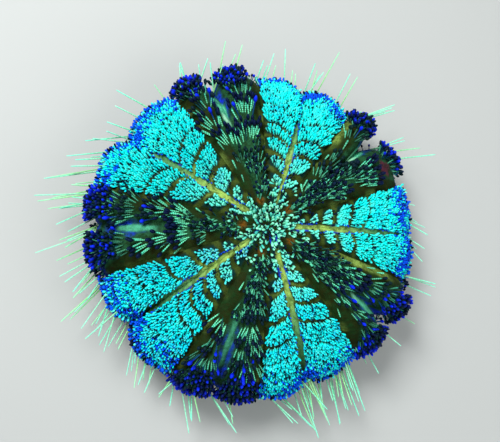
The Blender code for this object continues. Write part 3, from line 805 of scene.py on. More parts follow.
def spine_piece(name: str, groups: list[Spines], finish: Material) -> Piece:
    """One joined piece of several groups of spines."""
    made = [spine_arrays(group) for group in groups if len(group.root)]
    shift = np.cumsum([0] + [len(m["points"]) for m in made[:-1]])
    joined = {key: np.concatenate([m[key] for m in made]) for key in made[0] if key != "corners"}
    joined["corners"] = np.concatenate([m["corners"] + s for m, s in zip(made, shift)])
    return build_mesh(name, joined, finish)


class Nodes:
    """A short way to add and link shader nodes in one tree."""

    def __init__(self, tree: Tree) -> None:
        """Takes the tree to build in."""
        self.tree = tree

    def add(self, kind: str, **values: object) -> Node:
        """Adds a node and sets its properties, or its inputs by name with underscores for spaces."""
        node = self.tree.nodes.new(kind)
        for key, value in values.items():
            if hasattr(node, key):
                setattr(node, key, value)
            else:
                node.inputs[key.replace("_", " ")].default_value = value
        return node

    def put(self, socket: Socket, value: object) -> None:
        """Links a socket to another, or sets its colour or number."""
        if isinstance(value, Socket):
            self.tree.links.new(value, socket)
        elif isinstance(value, tuple):
            socket.default_value = (*value, 1.0)
        else:
            socket.default_value = value

    def attribute(self, name: str) -> Socket:
        """The value of a mesh attribute."""
        return self.add("ShaderNodeAttribute", attribute_name=name).outputs["Fac"]

    def mix(self, mask: object, first: object, second: object) -> Socket:
        """A colour mixed from two colours or sockets by a mask."""
        node = self.add("ShaderNodeMix", data_type="RGBA")
        self.put(node.inputs[0], mask)
        self.put(node.inputs[6], first)
        self.put(node.inputs[7], second)
        return node.outputs[2]

    def math(self, operation: str, first: object, second: object = 0.0) -> Socket:
        """A value worked out from two values or sockets."""
        node = self.add("ShaderNodeMath", operation=operation)
        self.put(node.inputs[0], first)
        self.put(node.inputs[1], second)
        return node.outputs[0]

    def steps(self, value: Socket, low: float, high: float) -> Socket:
        """A value spread from 0 at low to 1 at high, and held there."""
        node = self.add("ShaderNodeMapRange", From_Min=low, From_Max=high)
        self.put(node.inputs["Value"], value)
        return node.outputs["Result"]

    def ramp(self, value: Socket, stops: Ramp) -> Socket:
        """A colour read from a ramp."""
        node = self.add("ShaderNodeValToRGB")
        ramp = node.color_ramp
        while len(ramp.elements) < len(stops):
            ramp.elements.new(0.5)
        for element, (position, colour) in zip(ramp.elements, stops):
            element.position = position
            element.color = (*colour, 1.0)
        self.put(node.inputs[0], value)
        return node.outputs[0]

    def texture(self, kind: str, scale: object, **values: object) -> Node:
        """Adds a texture on the object's own coordinates."""
        node = self.add(kind, **values)
        self.put(node.inputs["Vector"], self.add("ShaderNodeTexCoord").outputs["Object"])
        self.put(node.inputs["Scale"], scale)
        return node

    def group(self, tree: Tree, **values: object) -> Node:
        """Places a node group with its own values."""
        node = self.add("ShaderNodeGroup")
        node.node_tree = tree
        for key, value in values.items():
            self.put(node.inputs[key.replace("_", " ")], value)
        return node

    def bump(self, height: Socket, strength: float, distance: float, shader: Node) -> None:
        """Feeds a height to the shader's normal."""
        node = self.add("ShaderNodeBump", Strength=strength, Distance=distance)
        self.put(node.inputs["Height"], height)
        self.put(shader.inputs["Normal"], node.outputs["Normal"])


def new_group(name: str, inputs: dict[str, tuple[str, object]],
              outputs: dict[str, str]) -> tuple[Nodes, Node, Node]:
    """Starts a shader node group.

    Args:
        name: The group's name.
        inputs: Socket type and default value by name.
        outputs: Socket type by name.

    Returns:
        The group's nodes, its input node and its output node.
    """
    tree = bpy.data.node_groups.new(name, "ShaderNodeTree")
    for key, (kind, value) in inputs.items():
        tree.interface.new_socket(key, in_out="INPUT", socket_type=kind).default_value = value
    for key, kind in outputs.items():
        tree.interface.new_socket(key, in_out="OUTPUT", socket_type=kind)
    nodes = Nodes(tree)
    return nodes, nodes.add("NodeGroupInput"), nodes.add("NodeGroupOutput")


def make_mottle() -> Tree:
    """Colour that drifts in patches of two sizes from a first colour to a second."""
    nodes, given, out = new_group(
        "living_mottle",
        {"First": (COLOUR, (0.5, 0.5, 0.5, 1.0)), "Second": (COLOUR, (0.2, 0.2, 0.2, 1.0)),
         "Scale": (NUMBER, 300.0), "Amount": (NUMBER, 0.5)},
        {"Colour": COLOUR, "Value": NUMBER})
    scale = given.outputs["Scale"]
    coarse = nodes.texture("ShaderNodeTexNoise", scale, Detail=3.0, Roughness=0.6)
    smaller = nodes.math("MULTIPLY", scale, 4.3)
    fine = nodes.texture("ShaderNodeTexNoise", smaller, Detail=2.0, Roughness=0.5)
    blend = nodes.math("ADD", nodes.math("MULTIPLY", coarse.outputs["Fac"], 0.65),
                       nodes.math("MULTIPLY", fine.outputs["Fac"], 0.35))
    spread = nodes.steps(blend, 0.4, 0.6)
    mask = nodes.math("MULTIPLY", spread, given.outputs["Amount"])
    nodes.put(out.inputs["Colour"], nodes.mix(mask, given.outputs["First"], given.outputs["Second"]))
    nodes.put(out.inputs["Value"], spread)
    return nodes.tree


def make_grain() -> Tree:
    """A height of fine wrinkles and pores."""
    nodes, given, out = new_group(
        "skin_grain", {"Scale": (NUMBER, 900.0), "Pores": (NUMBER, 0.5)}, {"Height": NUMBER})
    scale = given.outputs["Scale"]
    wrinkle = nodes.texture("ShaderNodeTexNoise", scale, Detail=4.0, Roughness=0.65)
    pore = nodes.texture("ShaderNodeTexVoronoi", nodes.math("MULTIPLY", scale, 1.7))
    pores = nodes.math("MULTIPLY", pore.outputs["Distance"], given.outputs["Pores"])
    nodes.put(out.inputs["Height"], nodes.math("ADD", wrinkle.outputs["Fac"], pores))
    return nodes.tree


def make_rings() -> Tree:
    """Soft rings along a spine, from 0 to 1."""
    nodes, given, out = new_group(
        "shaft_rings", {"Along": (NUMBER, 0.0), "Shift": (NUMBER, 0.0), "Rings": (NUMBER, 9.0)},
        {"Value": NUMBER})
    phase = nodes.math("ADD", nodes.math("MULTIPLY", given.outputs["Along"], given.outputs["Rings"]),
                       given.outputs["Shift"])
    wave = nodes.math("SINE", nodes.math("MULTIPLY", phase, 2 * math.pi))
    nodes.put(out.inputs["Value"], nodes.math("ADD", nodes.math("MULTIPLY", wave, 0.5), 0.5))
    return nodes.tree


@dataclass
class Effects:
    """The effects that several finishes share, each a node group made once."""

    mottle: Tree = field(default_factory=make_mottle)
    grain: Tree = field(default_factory=make_grain)
    rings: Tree = field(default_factory=make_rings)


def shader_of(name: str, roughness: float, gloss: float) -> tuple[Material, Nodes, Node]:
    """A new material with its nodes and its Principled shader.

    Args:
        name: The material's name.
        roughness: The shader's roughness.
        gloss: The shader's specular level.

    Returns:
        The material, its nodes and the shader.
    """
    made = bpy.data.materials.new(name)
    made.use_nodes = True
    shader = made.node_tree.nodes["Principled BSDF"]
    shader.inputs["Roughness"].default_value = roughness
    shader.inputs["Specular IOR Level"].default_value = gloss
    return made, Nodes(made.node_tree), shader


@dataclass(frozen=True)
class Layer:
    """One marking of the skin: a plain colour, or two that are mottled."""

    mask: str
    strength: float
    first: Colour | Socket
    second: Colour | None = None
    scale: float = 0.0
    amount: float = 0.0


@dataclass(frozen=True)
class SkinFinish:
    """The skin: dark under the coat, with olive bands, brown margins, pale bars and blue flanks."""

    effects: Effects
    bed: Colour = (0.001, 0.022, 0.02)
    dark_bed: Colour = (0.005, 0.018, 0.009)
    olive: Colour = (0.03, 0.048, 0.005)
    yellow: Colour = (0.32, 0.5, 0.1)
    brown: Colour = (0.007, 0.015, 0.002)
    rust: Colour = (0.024, 0.015, 0.001)
    moss: Colour = (0.006, 0.032, 0.006)
    leaf: Colour = (0.02, 0.13, 0.05)
    aqua: Colour = (0.1, 0.56, 0.34)
    pearl: Colour = (0.42, 0.8, 0.56)
    fresh: Colour = (0.09, 0.31, 0.12)
    hollow: Colour = (0.012, 0.048, 0.012)
    blue: Colour = (0.006, 0.03, 0.6)
    orange: Colour = (0.17, 0.07, 0.006)
    plum: Colour = (0.1, 0.018, 0.04)
    belly: Colour = (0.06, 0.04, 0.016)

    def layers(self, nodes: Nodes) -> tuple[Layer, ...]:
        """The markings, each over the one before."""
        earth = nodes.group(self.effects.mottle, First=self.brown, Second=self.moss, Scale=210.0, Amount=0.9)
        band = nodes.mix(nodes.attribute("fresh"), self.yellow, self.fresh)
        return (
            Layer("flush", 0.6, self.moss, self.leaf, 330.0, 0.9),
            Layer("brown", 1.0, earth.outputs["Colour"], self.rust, 130.0, 0.4),
            Layer("gap", 1.0, self.olive, self.brown, 500.0, 0.8),
            Layer("patch", 0.7, self.yellow, self.olive, 300.0, 0.8),
            Layer("blue", 1.0, self.blue, self.dark_bed, 520.0, 0.8),
            Layer("midline", 1.0, band, self.olive, 380.0, 0.5),
            Layer("knot", 0.8, self.hollow),
            Layer("aqua", 1.0, self.aqua, self.leaf, 380.0, 0.6),
            Layer("pearl", 1.0, self.pearl),
            Layer("spot", 1.0, self.orange, self.rust, 600.0, 1.0),
            Layer("plum", 1.0, self.plum, self.dark_bed, 420.0, 0.8),
            Layer("under", 1.0, self.belly, self.olive, 180.0, 0.7),
        )

    def make(self) -> Material:
        """Builds the material."""
        made, nodes, shader = shader_of("urchin_skin", 0.65, 0.05)
        colour = nodes.mix(nodes.attribute("dark"), self.bed, self.dark_bed)
        for layer in self.layers(nodes):
            mask, top = nodes.attribute(layer.mask), layer.first
            if layer.strength < 1.0:
                mask = nodes.math("MULTIPLY", mask, layer.strength)
            if layer.second is not None:
                top = nodes.group(self.effects.mottle, First=layer.first, Second=layer.second,
                                  Scale=layer.scale, Amount=layer.amount).outputs["Colour"]
            colour = nodes.mix(mask, colour, top)
        nodes.put(shader.inputs["Base Color"], colour)
        grain = nodes.group(self.effects.grain, Scale=1100.0, Pores=0.6)
        nodes.bump(grain.outputs["Height"], 0.55, 0.0003, shader)
        return made


BLACK_BULB: Ramp = ((0.0, (0.01, 0.08, 0.06)), (0.45, (0.005, 0.045, 0.05)), (0.58, (0.001, 0.004, 0.014)),
                    (0.85, (0.001, 0.005, 0.026)), (1.0, (0.001, 0.01, 0.06)))
ROYAL_BULB: Ramp = ((0.0, (0.005, 0.06, 0.1)), (0.42, (0.004, 0.05, 0.16)), (0.56, (0.001, 0.01, 0.24)),
                    (0.78, (0.002, 0.014, 0.62)), (1.0, (0.004, 0.035, 0.95)))


@dataclass(frozen=True)
class SpineFinish:
    """A spine's finish: a ramp along it for each shade, and a random drift towards one colour."""

    name: str
    plain: Ramp
    royal: Ramp
    black: Ramp
    drift: Colour
    drift_amount: float = 0.3
    rings: float = 0.0
    ring_shift: float | None = None  # turns by which the rings are moved, or at random for each spine
    ring_colour: Colour = (0.02, 0.1, 0.05)
    roughness: float = 0.5
    gloss: float = 0.06

    def make(self, effects: Effects) -> Material:
        """Builds the material."""
        made, nodes, shader = shader_of(self.name, self.roughness, self.gloss)
        along, tint, shade = nodes.attribute("along"), nodes.attribute("tint"), nodes.attribute("shade")
        colour = nodes.ramp(along, self.plain)
        if self.rings:
            shift = nodes.math("MULTIPLY", tint, 6.0) if self.ring_shift is None else self.ring_shift
            ring = nodes.group(effects.rings, Along=along, Shift=shift, Rings=self.rings)
            low = nodes.math("LESS_THAN", along, 0.62)
            mask = nodes.math("MULTIPLY", nodes.math("MULTIPLY", ring.outputs["Value"], low), 0.55)
            colour = nodes.mix(mask, colour, self.ring_colour)
        colour = nodes.mix(nodes.math("MULTIPLY", tint, self.drift_amount), colour, self.drift)
        colour = nodes.mix(nodes.steps(shade, 0.0, 0.5), colour, nodes.ramp(along, self.royal))
        colour = nodes.mix(nodes.steps(shade, 0.5, 1.0), colour, nodes.ramp(along, self.black))
        deep = nodes.add("ShaderNodeMix", data_type="RGBA", blend_type="MULTIPLY")
        nodes.put(deep.inputs[0], 1.0)
        nodes.put(deep.inputs[6], colour)
        nodes.put(deep.inputs[7], (0.55, 0.72, 0.75))
        mottle = nodes.group(effects.mottle, First=colour, Second=deep.outputs[2], Scale=800.0, Amount=0.8)
        nodes.put(shader.inputs["Base Color"], mottle.outputs["Colour"])
        grain = nodes.group(effects.grain, Scale=2600.0, Pores=0.3)
        nodes.bump(grain.outputs["Height"], 0.25, 0.0001, shader)
        return made


# Bright turquoise blades, whiter at the root and towards the centre.
BLADE_FINISH = SpineFinish(
    "pale_spines",
    ((0.0, (0.05, 0.3, 0.2)), (0.12, (0.16, 0.92, 0.7)), (0.3, (0.01, 0.96, 0.84)),
     (0.6, (0.0, 0.95, 0.88)), (0.88, (0.0, 0.9, 0.85)), (1.0, (0.0, 0.4, 0.4))),
    ((0.0, (0.0, 0.06, 0.2)), (0.4, (0.0, 0.16, 0.5)), (0.62, (0.0, 0.12, 0.85)),
     (0.85, (0.0, 0.1, 0.9)), (1.0, (0.0, 0.02, 0.45))),
    BLACK_BULB, (0.3, 1.0, 0.62), 0.6)
# Pale green shafts with navy bulbs, and dark rings of painted shade in the grooves between the shafts' raised
# rings.
CLUB_FINISH = SpineFinish(
    "dark_spines",
    ((0.0, (0.03, 0.28, 0.14)), (0.1, (0.24, 0.96, 0.52)), (0.58, (0.12, 0.9, 0.58)),
     (0.66, (0.002, 0.01, 0.02)), (0.72, (0.001, 0.004, 0.016)), (1.0, (0.001, 0.008, 0.05))),
    ROYAL_BULB, BLACK_BULB, (0.004, 0.022, 0.014), 0.85, rings=8.62, ring_shift=0.078)
# Pale green needles, a little yellower at the root.
NEEDLE_FINISH = SpineFinish(
    "needles",
    ((0.0, (0.2, 0.5, 0.14)), (0.4, (0.22, 0.85, 0.5)), (1.0, (0.24, 0.95, 0.7))),
    ((0.0, (0.22, 0.45, 0.1)), (0.5, (0.34, 0.8, 0.26)), (1.0, (0.4, 0.9, 0.5))),
    ((0.0, (0.1, 0.4, 0.2)), (1.0, (0.1, 0.6, 0.4))),
    (0.5, 1.0, 0.7), 0.5, rings=14.0, ring_colour=(0.1, 0.45, 0.25))
# Pale green-white spines round the apex.
CROWN_FINISH = SpineFinish(
    "crown_spines",
    ((0.0, (0.02, 0.16, 0.08)), (0.2, (0.16, 0.68, 0.38)), (0.6, (0.24, 0.94, 0.6)),
     (0.85, (0.42, 1.0, 0.7)), (1.0, (0.08, 0.48, 0.34))),
    ROYAL_BULB, BLACK_BULB, (0.02, 0.46, 0.4), 0.85)
# Brownish spines of the lower side with pale hooves, and pale tube feet where shaded.
FOOT_RAMP = ((0.0, (0.12, 0.09, 0.05)), (0.6, (0.3, 0.24, 0.15)), (1.0, (0.45, 0.38, 0.26)))
UNDER_FINISH = SpineFinish(
    "lower_spines",
    ((0.0, (0.05, 0.04, 0.02)), (0.35, (0.16, 0.22, 0.1)), (0.82, (0.22, 0.42, 0.26)),
     (0.9, (0.6, 0.72, 0.56)), (1.0, (0.75, 0.8, 0.66))),
    FOOT_RAMP, FOOT_RAMP, (0.1, 0.14, 0.05), 0.5, rings=9.0)
# Ivory, darker towards the root and worn white at the edge.
DULL_IVORY_RAMP = ((0.0, (0.3, 0.24, 0.1)), (1.0, (0.6, 0.54, 0.36)))
TOOTH_FINISH = SpineFinish(
    "teeth",
    ((0.0, (0.34, 0.28, 0.13)), (0.35, (0.62, 0.57, 0.4)), (0.85, (0.72, 0.7, 0.56)),
     (1.0, (0.8, 0.8, 0.7))),
    DULL_IVORY_RAMP, DULL_IVORY_RAMP, (0.5, 0.45, 0.28), 0.3, rings=14.0, ring_shift=0.0, ring_colour=(0.42, 0.36, 0.2),
    roughness=0.3, gloss=0.3)


@dataclass(frozen=True)
class Grid:
    """How closely places stand, in millimetres: from row to row, along a row, and how far each strays."""

    row: float
    step: float
    jitter: float


@dataclass(frozen=True)
class Sort:
    """One sort of spine: its outline, size, stance and scatter."""

    profile: Profile
    length: Array | float
    width: Array | float
    lean: Array | float = 0.0  # degrees outwards off the skin's normal
    sway: float = 0.0  # degrees of sideways scatter
    spread: float = 0.0  # scatter of the length, as a share
    bend: float = 0.0  # how far the tip bends back up, as a share of the length


@dataclass(frozen=True)
class Sites:
    """Places on the skin for spines, one to a row."""

    angle: Array
    turn: Array

    def where(self, chosen: Array) -> "Sites":
        """The places that a mask chooses."""
        return Sites(self.angle[chosen], self.turn[chosen])


def extent(number: int) -> tuple[float, float, float]:
    """The start, middle and end angle of a field."""
    here = FIELDS[number]
    last = number + 1 == len(FIELDS)
    end = FIELDS[0].start + FULL_TURN if last else FIELDS[number + 1].start
    return here.start, here.middle, end


@dataclass
class Coat:
    """Sets spines on the skin."""

    shape: BodyShape
    marks: Markings
    rng: np.random.Generator

    def sites(self, low: float, high: float, begin: float, end: float, grid: Grid) -> Sites:
        """Rows of places between two angles, evenly spaced on the skin.

        Args:
            low: The first angle.
            high: The last angle.
            begin: Where the rows start, as a distance from the apex along the skin.
            end: Where they end.
            grid: How closely the places stand.

        Returns:
            The places.
        """
        angles, turns = [], []
        reach, step, jitter = self.shape.reach_at((low + high) / 2), grid.step * MM, grid.jitter * MM
        for number, arc in enumerate(np.arange(begin, end, grid.row * MM)):
            turn = float(self.shape.turn_of(np.array(arc)))
            width = float(self.shape.radius_share(np.array(turn))) * reach * math.radians(high - low)
            count = max(int(round(width / step)), 1)
            at = (np.arange(count) + 0.5 + 0.5 * (number % 2) - 0.25) / count
            at = np.clip(at + self.rng.uniform(-1, 1, count) * jitter / max(width, step), 0.0, 1.0)
            stray = self.rng.uniform(-1, 1, count) * jitter
            angles.append(low + at * (high - low))
            turns.append(self.shape.turn_of(arc + stray))
        return Sites(np.concatenate(angles), np.concatenate(turns))

    def field_sites(self, number: int, arcs: Pair, grid: Grid) -> Sites:
        """Rows of places between the two borders of a field."""
        start, _, end = extent(number)
        return self.sites(start, end, *arcs, grid)

    def arcs(self, turns: Pair) -> Pair:
        """Distances from the apex to two turns."""
        return self.shape.arc_at(turns[0]), self.shape.arc_at(turns[1])

    def at(self, sites: Sites) -> Place:
        """Where some places lie."""
        return self.shape.place(sites.angle, sites.turn)

    def draw(self, count: int) -> Array:
        """Random values from 0 to 1."""
        return self.rng.uniform(0, 1, count)

    def chance(self, count: int, royal: float, black: float) -> Array:
        """Shades drawn at random, from the shares of royal blue and black spines."""
        draw = self.draw(count)
        return np.where(draw < royal, 0.5, np.where(draw < royal + black, 1.0, 0.0))

    def grow(self, sites: Sites, sort: Sort, shade: Array | float = 0.0, aim: Array | None = None,
             fan: Array | float = 0.0) -> Spines:
        """Grows a spine at each place.

        Args:
            sites: The places.
            sort: Their sort.
            shade: The marking that the finish reads.
            aim: Directions to take instead of the sort's lean.
            fan: Degrees sideways, towards growing angles.

        Returns:
            The spines.
        """
        count = len(sites.angle)
        root, normal, outward, side = self.shape.frame_at(sites.angle, sites.turn)
        tilt = np.radians(sort.lean + self.rng.normal(0.0, sort.sway * 0.6, count))
        turn = np.radians(self.rng.normal(0.0, sort.sway, count) + fan)
        if aim is None:
            aim = normal * np.cos(tilt)[:, None] + outward * np.sin(tilt)[:, None]
        aim = unit(unit(aim) + side * np.tan(turn)[:, None])
        across = unit(np.cross(aim, normal) + 1e-9)
        lengths = sort.length * (1.0 + sort.spread * self.rng.uniform(-1, 1, count))
        widths = sort.width * (1.0 + 0.12 * self.rng.uniform(-1, 1, count))
        return Spines(sort.profile, root, aim, across, lengths, widths,
                      self.shape.unwrap(sites.angle, sites.turn), normal * (sort.bend * lengths)[:, None],
                      self.draw(count), np.broadcast_to(shade, (count,)).astype(float))


@dataclass
class Skin:
    """The one skin over the whole body, from the apex to the mouth."""

    shape: BodyShape
    marks: Markings
    columns: int = 720
    upper_rings: int = 104
    lower_rings: int = 20
    mouth_rings: int = 12
    ripple: float = 0.1 * MM
    ripple_length: float = 2.6 * MM
    # Radius and height of the mouth's rings, in millimetres, from the brink inwards.
    mouth: tuple[Pair, ...] = ((22.0, 0.0), (17.0, 13.9), (12.0, 14.2), (8.0, 14.6), (5.8, 15.6), (4.6, 17.6),
                               (3.6, 19.0))

    def rings(self) -> tuple[Array, Array]:
        """The turns of the skin's rings, and the radius and height of the mouth's."""
        last = self.shape.turn_at(self.shape.membrane_radius / self.shape.mean_reach, False)
        first, rim = map(self.shape.arc_at, (0.8, RIM))
        upper = self.shape.turn_of(np.linspace(first, rim, self.upper_rings))
        lower = RIM + (last - RIM) * np.linspace(0, 1, self.lower_rings + 1)[1:]
        return np.concatenate([upper, lower]), np.array(self.mouth[1:]) * MM

    def make(self, finish: Material) -> Piece:
        """Builds the skin with its markings.

        Args:
            finish: Its material.

        Returns:
            The object.
        """
        angles = FULL_TURN * np.arange(self.columns) / self.columns
        turns, mouth = self.rings()
        grid_angle, grid_turn = np.meshgrid(angles, turns)
        points, normal, _, _ = self.shape.frame_at(grid_angle, grid_turn)
        arc = self.shape.arc(grid_turn)
        beside = np.abs(self.shape.place(grid_angle, grid_turn).lateral)
        wave = np.sin(2 * np.pi * (arc - 0.25 * beside) / self.ripple_length)
        fade = smooth(grid_turn, 5.0, 20.0) * smooth(grid_turn, 172.0, 150.0)
        points = points + normal * (self.ripple * wave * fade)[..., None]
        edge = points[-1]
        around = np.radians(angles)
        rows = [points]
        at = np.linspace(0.0, 1.0, self.mouth_rings + 1)[1:]
        knots = np.linspace(0.0, 1.0, len(mouth) + 1)
        edge_radius = np.hypot(edge[:, 0] - self.shape.axis[0], edge[:, 1] - self.shape.axis[1])
        for t in at:
            radius = np.interp(t, knots, [0.0, *mouth[:, 0]]) + edge_radius * max(0.0, 1 - t * len(mouth))
            z = np.interp(t, knots, [0.0, *mouth[:, 1]]) + edge[:, 2] * max(0.0, 1 - t * len(mouth))
            rows.append(np.stack([self.shape.axis[0] + radius * np.cos(around),
                                  self.shape.axis[1] + radius * np.sin(around), z + 0 * around], -1)[None])
        points = np.concatenate(rows)
        levels = len(points)
        mouth_turn = turns[-1] + (LAST_TURN - turns[-1]) * at
        all_turns = np.concatenate([turns, mouth_turn])
        grid_angle, grid_turn = np.meshgrid(angles, all_turns)
        masks = self.marks.masks(grid_angle, grid_turn)
        apex = self.shape.point(np.zeros(1), np.zeros(1))
        throat = np.array([[*self.shape.axis, mouth[-1, 1] + 0.3 * MM]])
        flat = np.concatenate([points.reshape(-1, 3), apex, throat])
        c = np.arange(self.columns)
        d = (c + 1) % self.columns
        quads = ring_quads(levels, self.columns)
        top_fan = np.stack([np.full_like(c, levels * self.columns), c, d], 1)
        base = (levels - 1) * self.columns
        low_fan = np.stack([base + c, np.full_like(c, levels * self.columns + 1), base + d], 1)
        corners = np.concatenate([quads.ravel(), top_fan.ravel(), low_fan.ravel()])
        totals = np.concatenate([np.full(len(quads), 4), np.full(2 * self.columns, 3)])
        point_angle = np.concatenate([grid_angle.ravel(), [0.0, 0.0]])
        point_turn = np.concatenate([grid_turn.ravel(), [0.0, 180.0]])
        face = np.repeat(np.arange(len(totals)), totals)
        starts = np.concatenate([[0], np.cumsum(totals)[:-1]])
        mean = np.add.reduceat(point_turn[corners], starts) / totals
        turn_here = np.where(mean[face] <= RIM, np.minimum(point_turn[corners], RIM),
                             np.maximum(point_turn[corners], RIM + 1e-6))
        arrays = {"points": flat, "corners": corners, "totals": totals,
                  "uv": self.shape.unwrap(point_angle[corners], turn_here)}
        for key, values in masks.items():
            arrays[key] = np.concatenate([values.ravel(), [values.ravel()[0], values.ravel()[-1]]])
        return build_mesh("urchin_skin", arrays, finish)


@dataclass
class PaleCoat(Coat):
    """The turquoise blades of a pale field, in cross bands, with a blue fringe at the rim."""

    blade: Sort = Sort(BLADE, 2.4 * MM, 1.02 * MM, 41.0, 8.0, 0.18, 0.06)
    dot: Sort = Sort(DOT, 2.9 * MM, 0.8 * MM, 30.0, 9.0, 0.12)
    bead: Sort = Sort(DOT, 1.9 * MM, 0.8 * MM, 10.0, 10.0, 0.2)
    globe: Sort = Sort(GLOBE, 4.2 * MM, 1.2 * MM, 20.0, 10.0, 0.18)
    grid: Grid = Grid(1.05, 0.98, 0.28)
    rim_grid: Grid = Grid(1.5, 1.45, 0.4)
    first_row: float = 13.0 * MM  # from the apex
    last_row: float = 82.0  # its turn
    rim_turns: Pair = (81.0, 105.0)
    clear: float = 0.5 * MM  # how far blades keep off the olive band
    overhang: float = 1.1 * MM  # how far blades lean over a cross band
    left_out: float = 0.34  # share of the blades beside the crown
    left_out_span: Pair = (32.0 * MM, 18.0 * MM)
    dotted: tuple[float, float, float] = (0.14, 0.09, 0.08)  # share with a dot, and what patches and dusk add
    gap_dotted: Pair = (0.1, 0.42)  # the same on a cross band, and where that has faded
    blue_turns: Pair = (54.0, 76.0)  # from turquoise to royal blue
    tinge: tuple[float, float, float] = (0.05, 0.12, 0.07)  # blue of the others, and what broad patches of painted shade and dusk add
    inner_span: Pair = (36.0 * MM, 16.0 * MM)
    raised: Pair = (20.0, 8.0)  # degrees by which blades stand up more at rim and crown
    fan: float = 24.0  # degrees that the blades at the border lean across it
    fan_span: Pair = (6.0 * MM, 0.5 * MM)
    whiter_span: Pair = (48.0 * MM, 20.0 * MM)
    bead_arcs: tuple[float, float, float] = (15.0 * MM, 78.0 * MM, 1.15 * MM)  # first, last and step

    def blades(self, number: int) -> list[Spines]:
        """The blades, and the black dots between them and along the cross bands: partly dark spines, partly
        painted shade in the gaps.
        """
        shape, marks = self.shape, self.marks
        sites = self.field_sites(number, (self.first_row, shape.arc_at(self.last_row)), self.grid)
        place = self.at(sites)
        lateral, margin = place.lateral, place.margin
        apart, arc = marks.cross_bands(place)[0], shape.arc(sites.turn)
        draw = self.draw(len(arc))
        free = np.abs(lateral) > marks.band_width(place) + self.clear
        free &= margin > marks.ragged_edge(place) + 0.5 * MM * draw
        strength, half_gap = marks.band_strength(place), marks.gap_half(place)
        in_gap = (apart > -(half_gap + self.overhang) * strength) & (apart < half_gap * strength - 0.1 * MM)
        left_out = self.left_out * smooth(arc, *self.left_out_span)
        blade = free & ~in_gap & (self.draw(len(arc)) > left_out)
        dusk, (plain, patches, duller) = BANDS[number // 2].dusk, self.dotted
        patchy = wander(np.radians(sites.angle) * 22.0, arc / (3.0 * MM), number * 1.3)
        speckled = plain + patches * patchy + duller * dusk
        dotted = np.where(in_gap, self.gap_dotted[1] * (1.0 - strength) + self.gap_dotted[0], speckled)
        # The black dots stand partly for dark spines and partly for painted shade in the gaps between the
        # blades.
        dot = free & (dotted > self.draw(len(arc)))
        chosen = sites.where(blade)
        arc, lateral, margin = arc[blade], lateral[blade], margin[blade]
        place, around = self.at(chosen), np.radians(chosen.angle)
        early = column(BANDS, "early")[place.index // 2, place.second.astype(int)]
        near_rim = smooth(chosen.turn, self.blue_turns[0] - early, self.blue_turns[1] - early)
        patchy = 0.62 + 0.55 * wander(around * 17.0, chosen.turn / 6.0, number * 0.9)
        blue = np.where(self.draw(len(arc)) < near_rim**1.5 * patchy, 0.5, 0.0)
        plain, patches, duller = self.tinge
        # Broad random patches where the blades turn bluer and darker: painted shade for the valleys between
        # the light-catching ridges of the coat.
        painted_shade_patches = np.maximum(wander(around * 13.0, arc / (6.0 * MM), number * 2.1), 0.0)
        blue = blue + (plain + patches * painted_shade_patches + duller * dusk) * self.draw(len(arc)) * (blue == 0)
        inner = smooth(arc, *self.inner_span)
        sort = replace(self.blade, length=self.blade.length * (1.0 - 0.04 * inner),
                       width=self.blade.width * (1.0 + 0.26 * inner),
                       lean=self.blade.lean - self.raised[0] * near_rim - self.raised[1] * inner)
        fan = self.fan * np.sign(lateral) * smooth(margin, *self.fan_span)
        made = self.grow(chosen, sort, blue, fan=fan)
        made.tint = np.clip(0.4 * made.tint**3 + 0.9 * smooth(arc, *self.whiter_span), 0.0, 1.5)
        return [made, self.grow(sites.where(dot), self.dot, 1.0)]

    def beads(self, number: int) -> Spines:
        """The blue beads along both edges of the olive band."""
        _, middle, _ = extent(number)
        arc = np.tile(np.arange(*self.bead_arcs), 2)
        side = np.repeat([-1.0, 1.0], len(arc) // 2)
        keep = wander(arc / (3.1 * MM), side * 2.0 + number, 0.7) > -0.05
        keep &= self.draw(len(arc)) < 0.62
        arc, side = arc[keep], side[keep]
        turn = self.shape.turn_of(arc + self.rng.uniform(-0.3, 0.3, len(arc)) * MM)
        place = self.shape.place(np.full(len(arc), middle), turn)
        offset = self.marks.band_width(place) + (0.35 + 0.45 * self.draw(len(arc))) * MM
        sites = Sites(middle + side * np.degrees(offset / place.radius), turn)
        return self.grow(sites, self.bead, 0.5)

    def fringe(self, number: int) -> Spines:
        """The blue globes at the rim."""
        rim = self.field_sites(number, self.arcs(self.rim_turns), self.rim_grid)
        rim = rim.where(self.at(rim).margin > 0.9 * MM)
        return self.grow(rim, self.globe, self.chance(len(rim.angle), 0.52, 0.22))

    def make(self, number: int, finish: Material) -> Piece:
        """Builds one field's coat as a joined piece."""
        groups = [*self.blades(number), self.beads(number), self.fringe(number)]
        return spine_piece(f"{FIELDS[number].name}_spines", groups, finish)


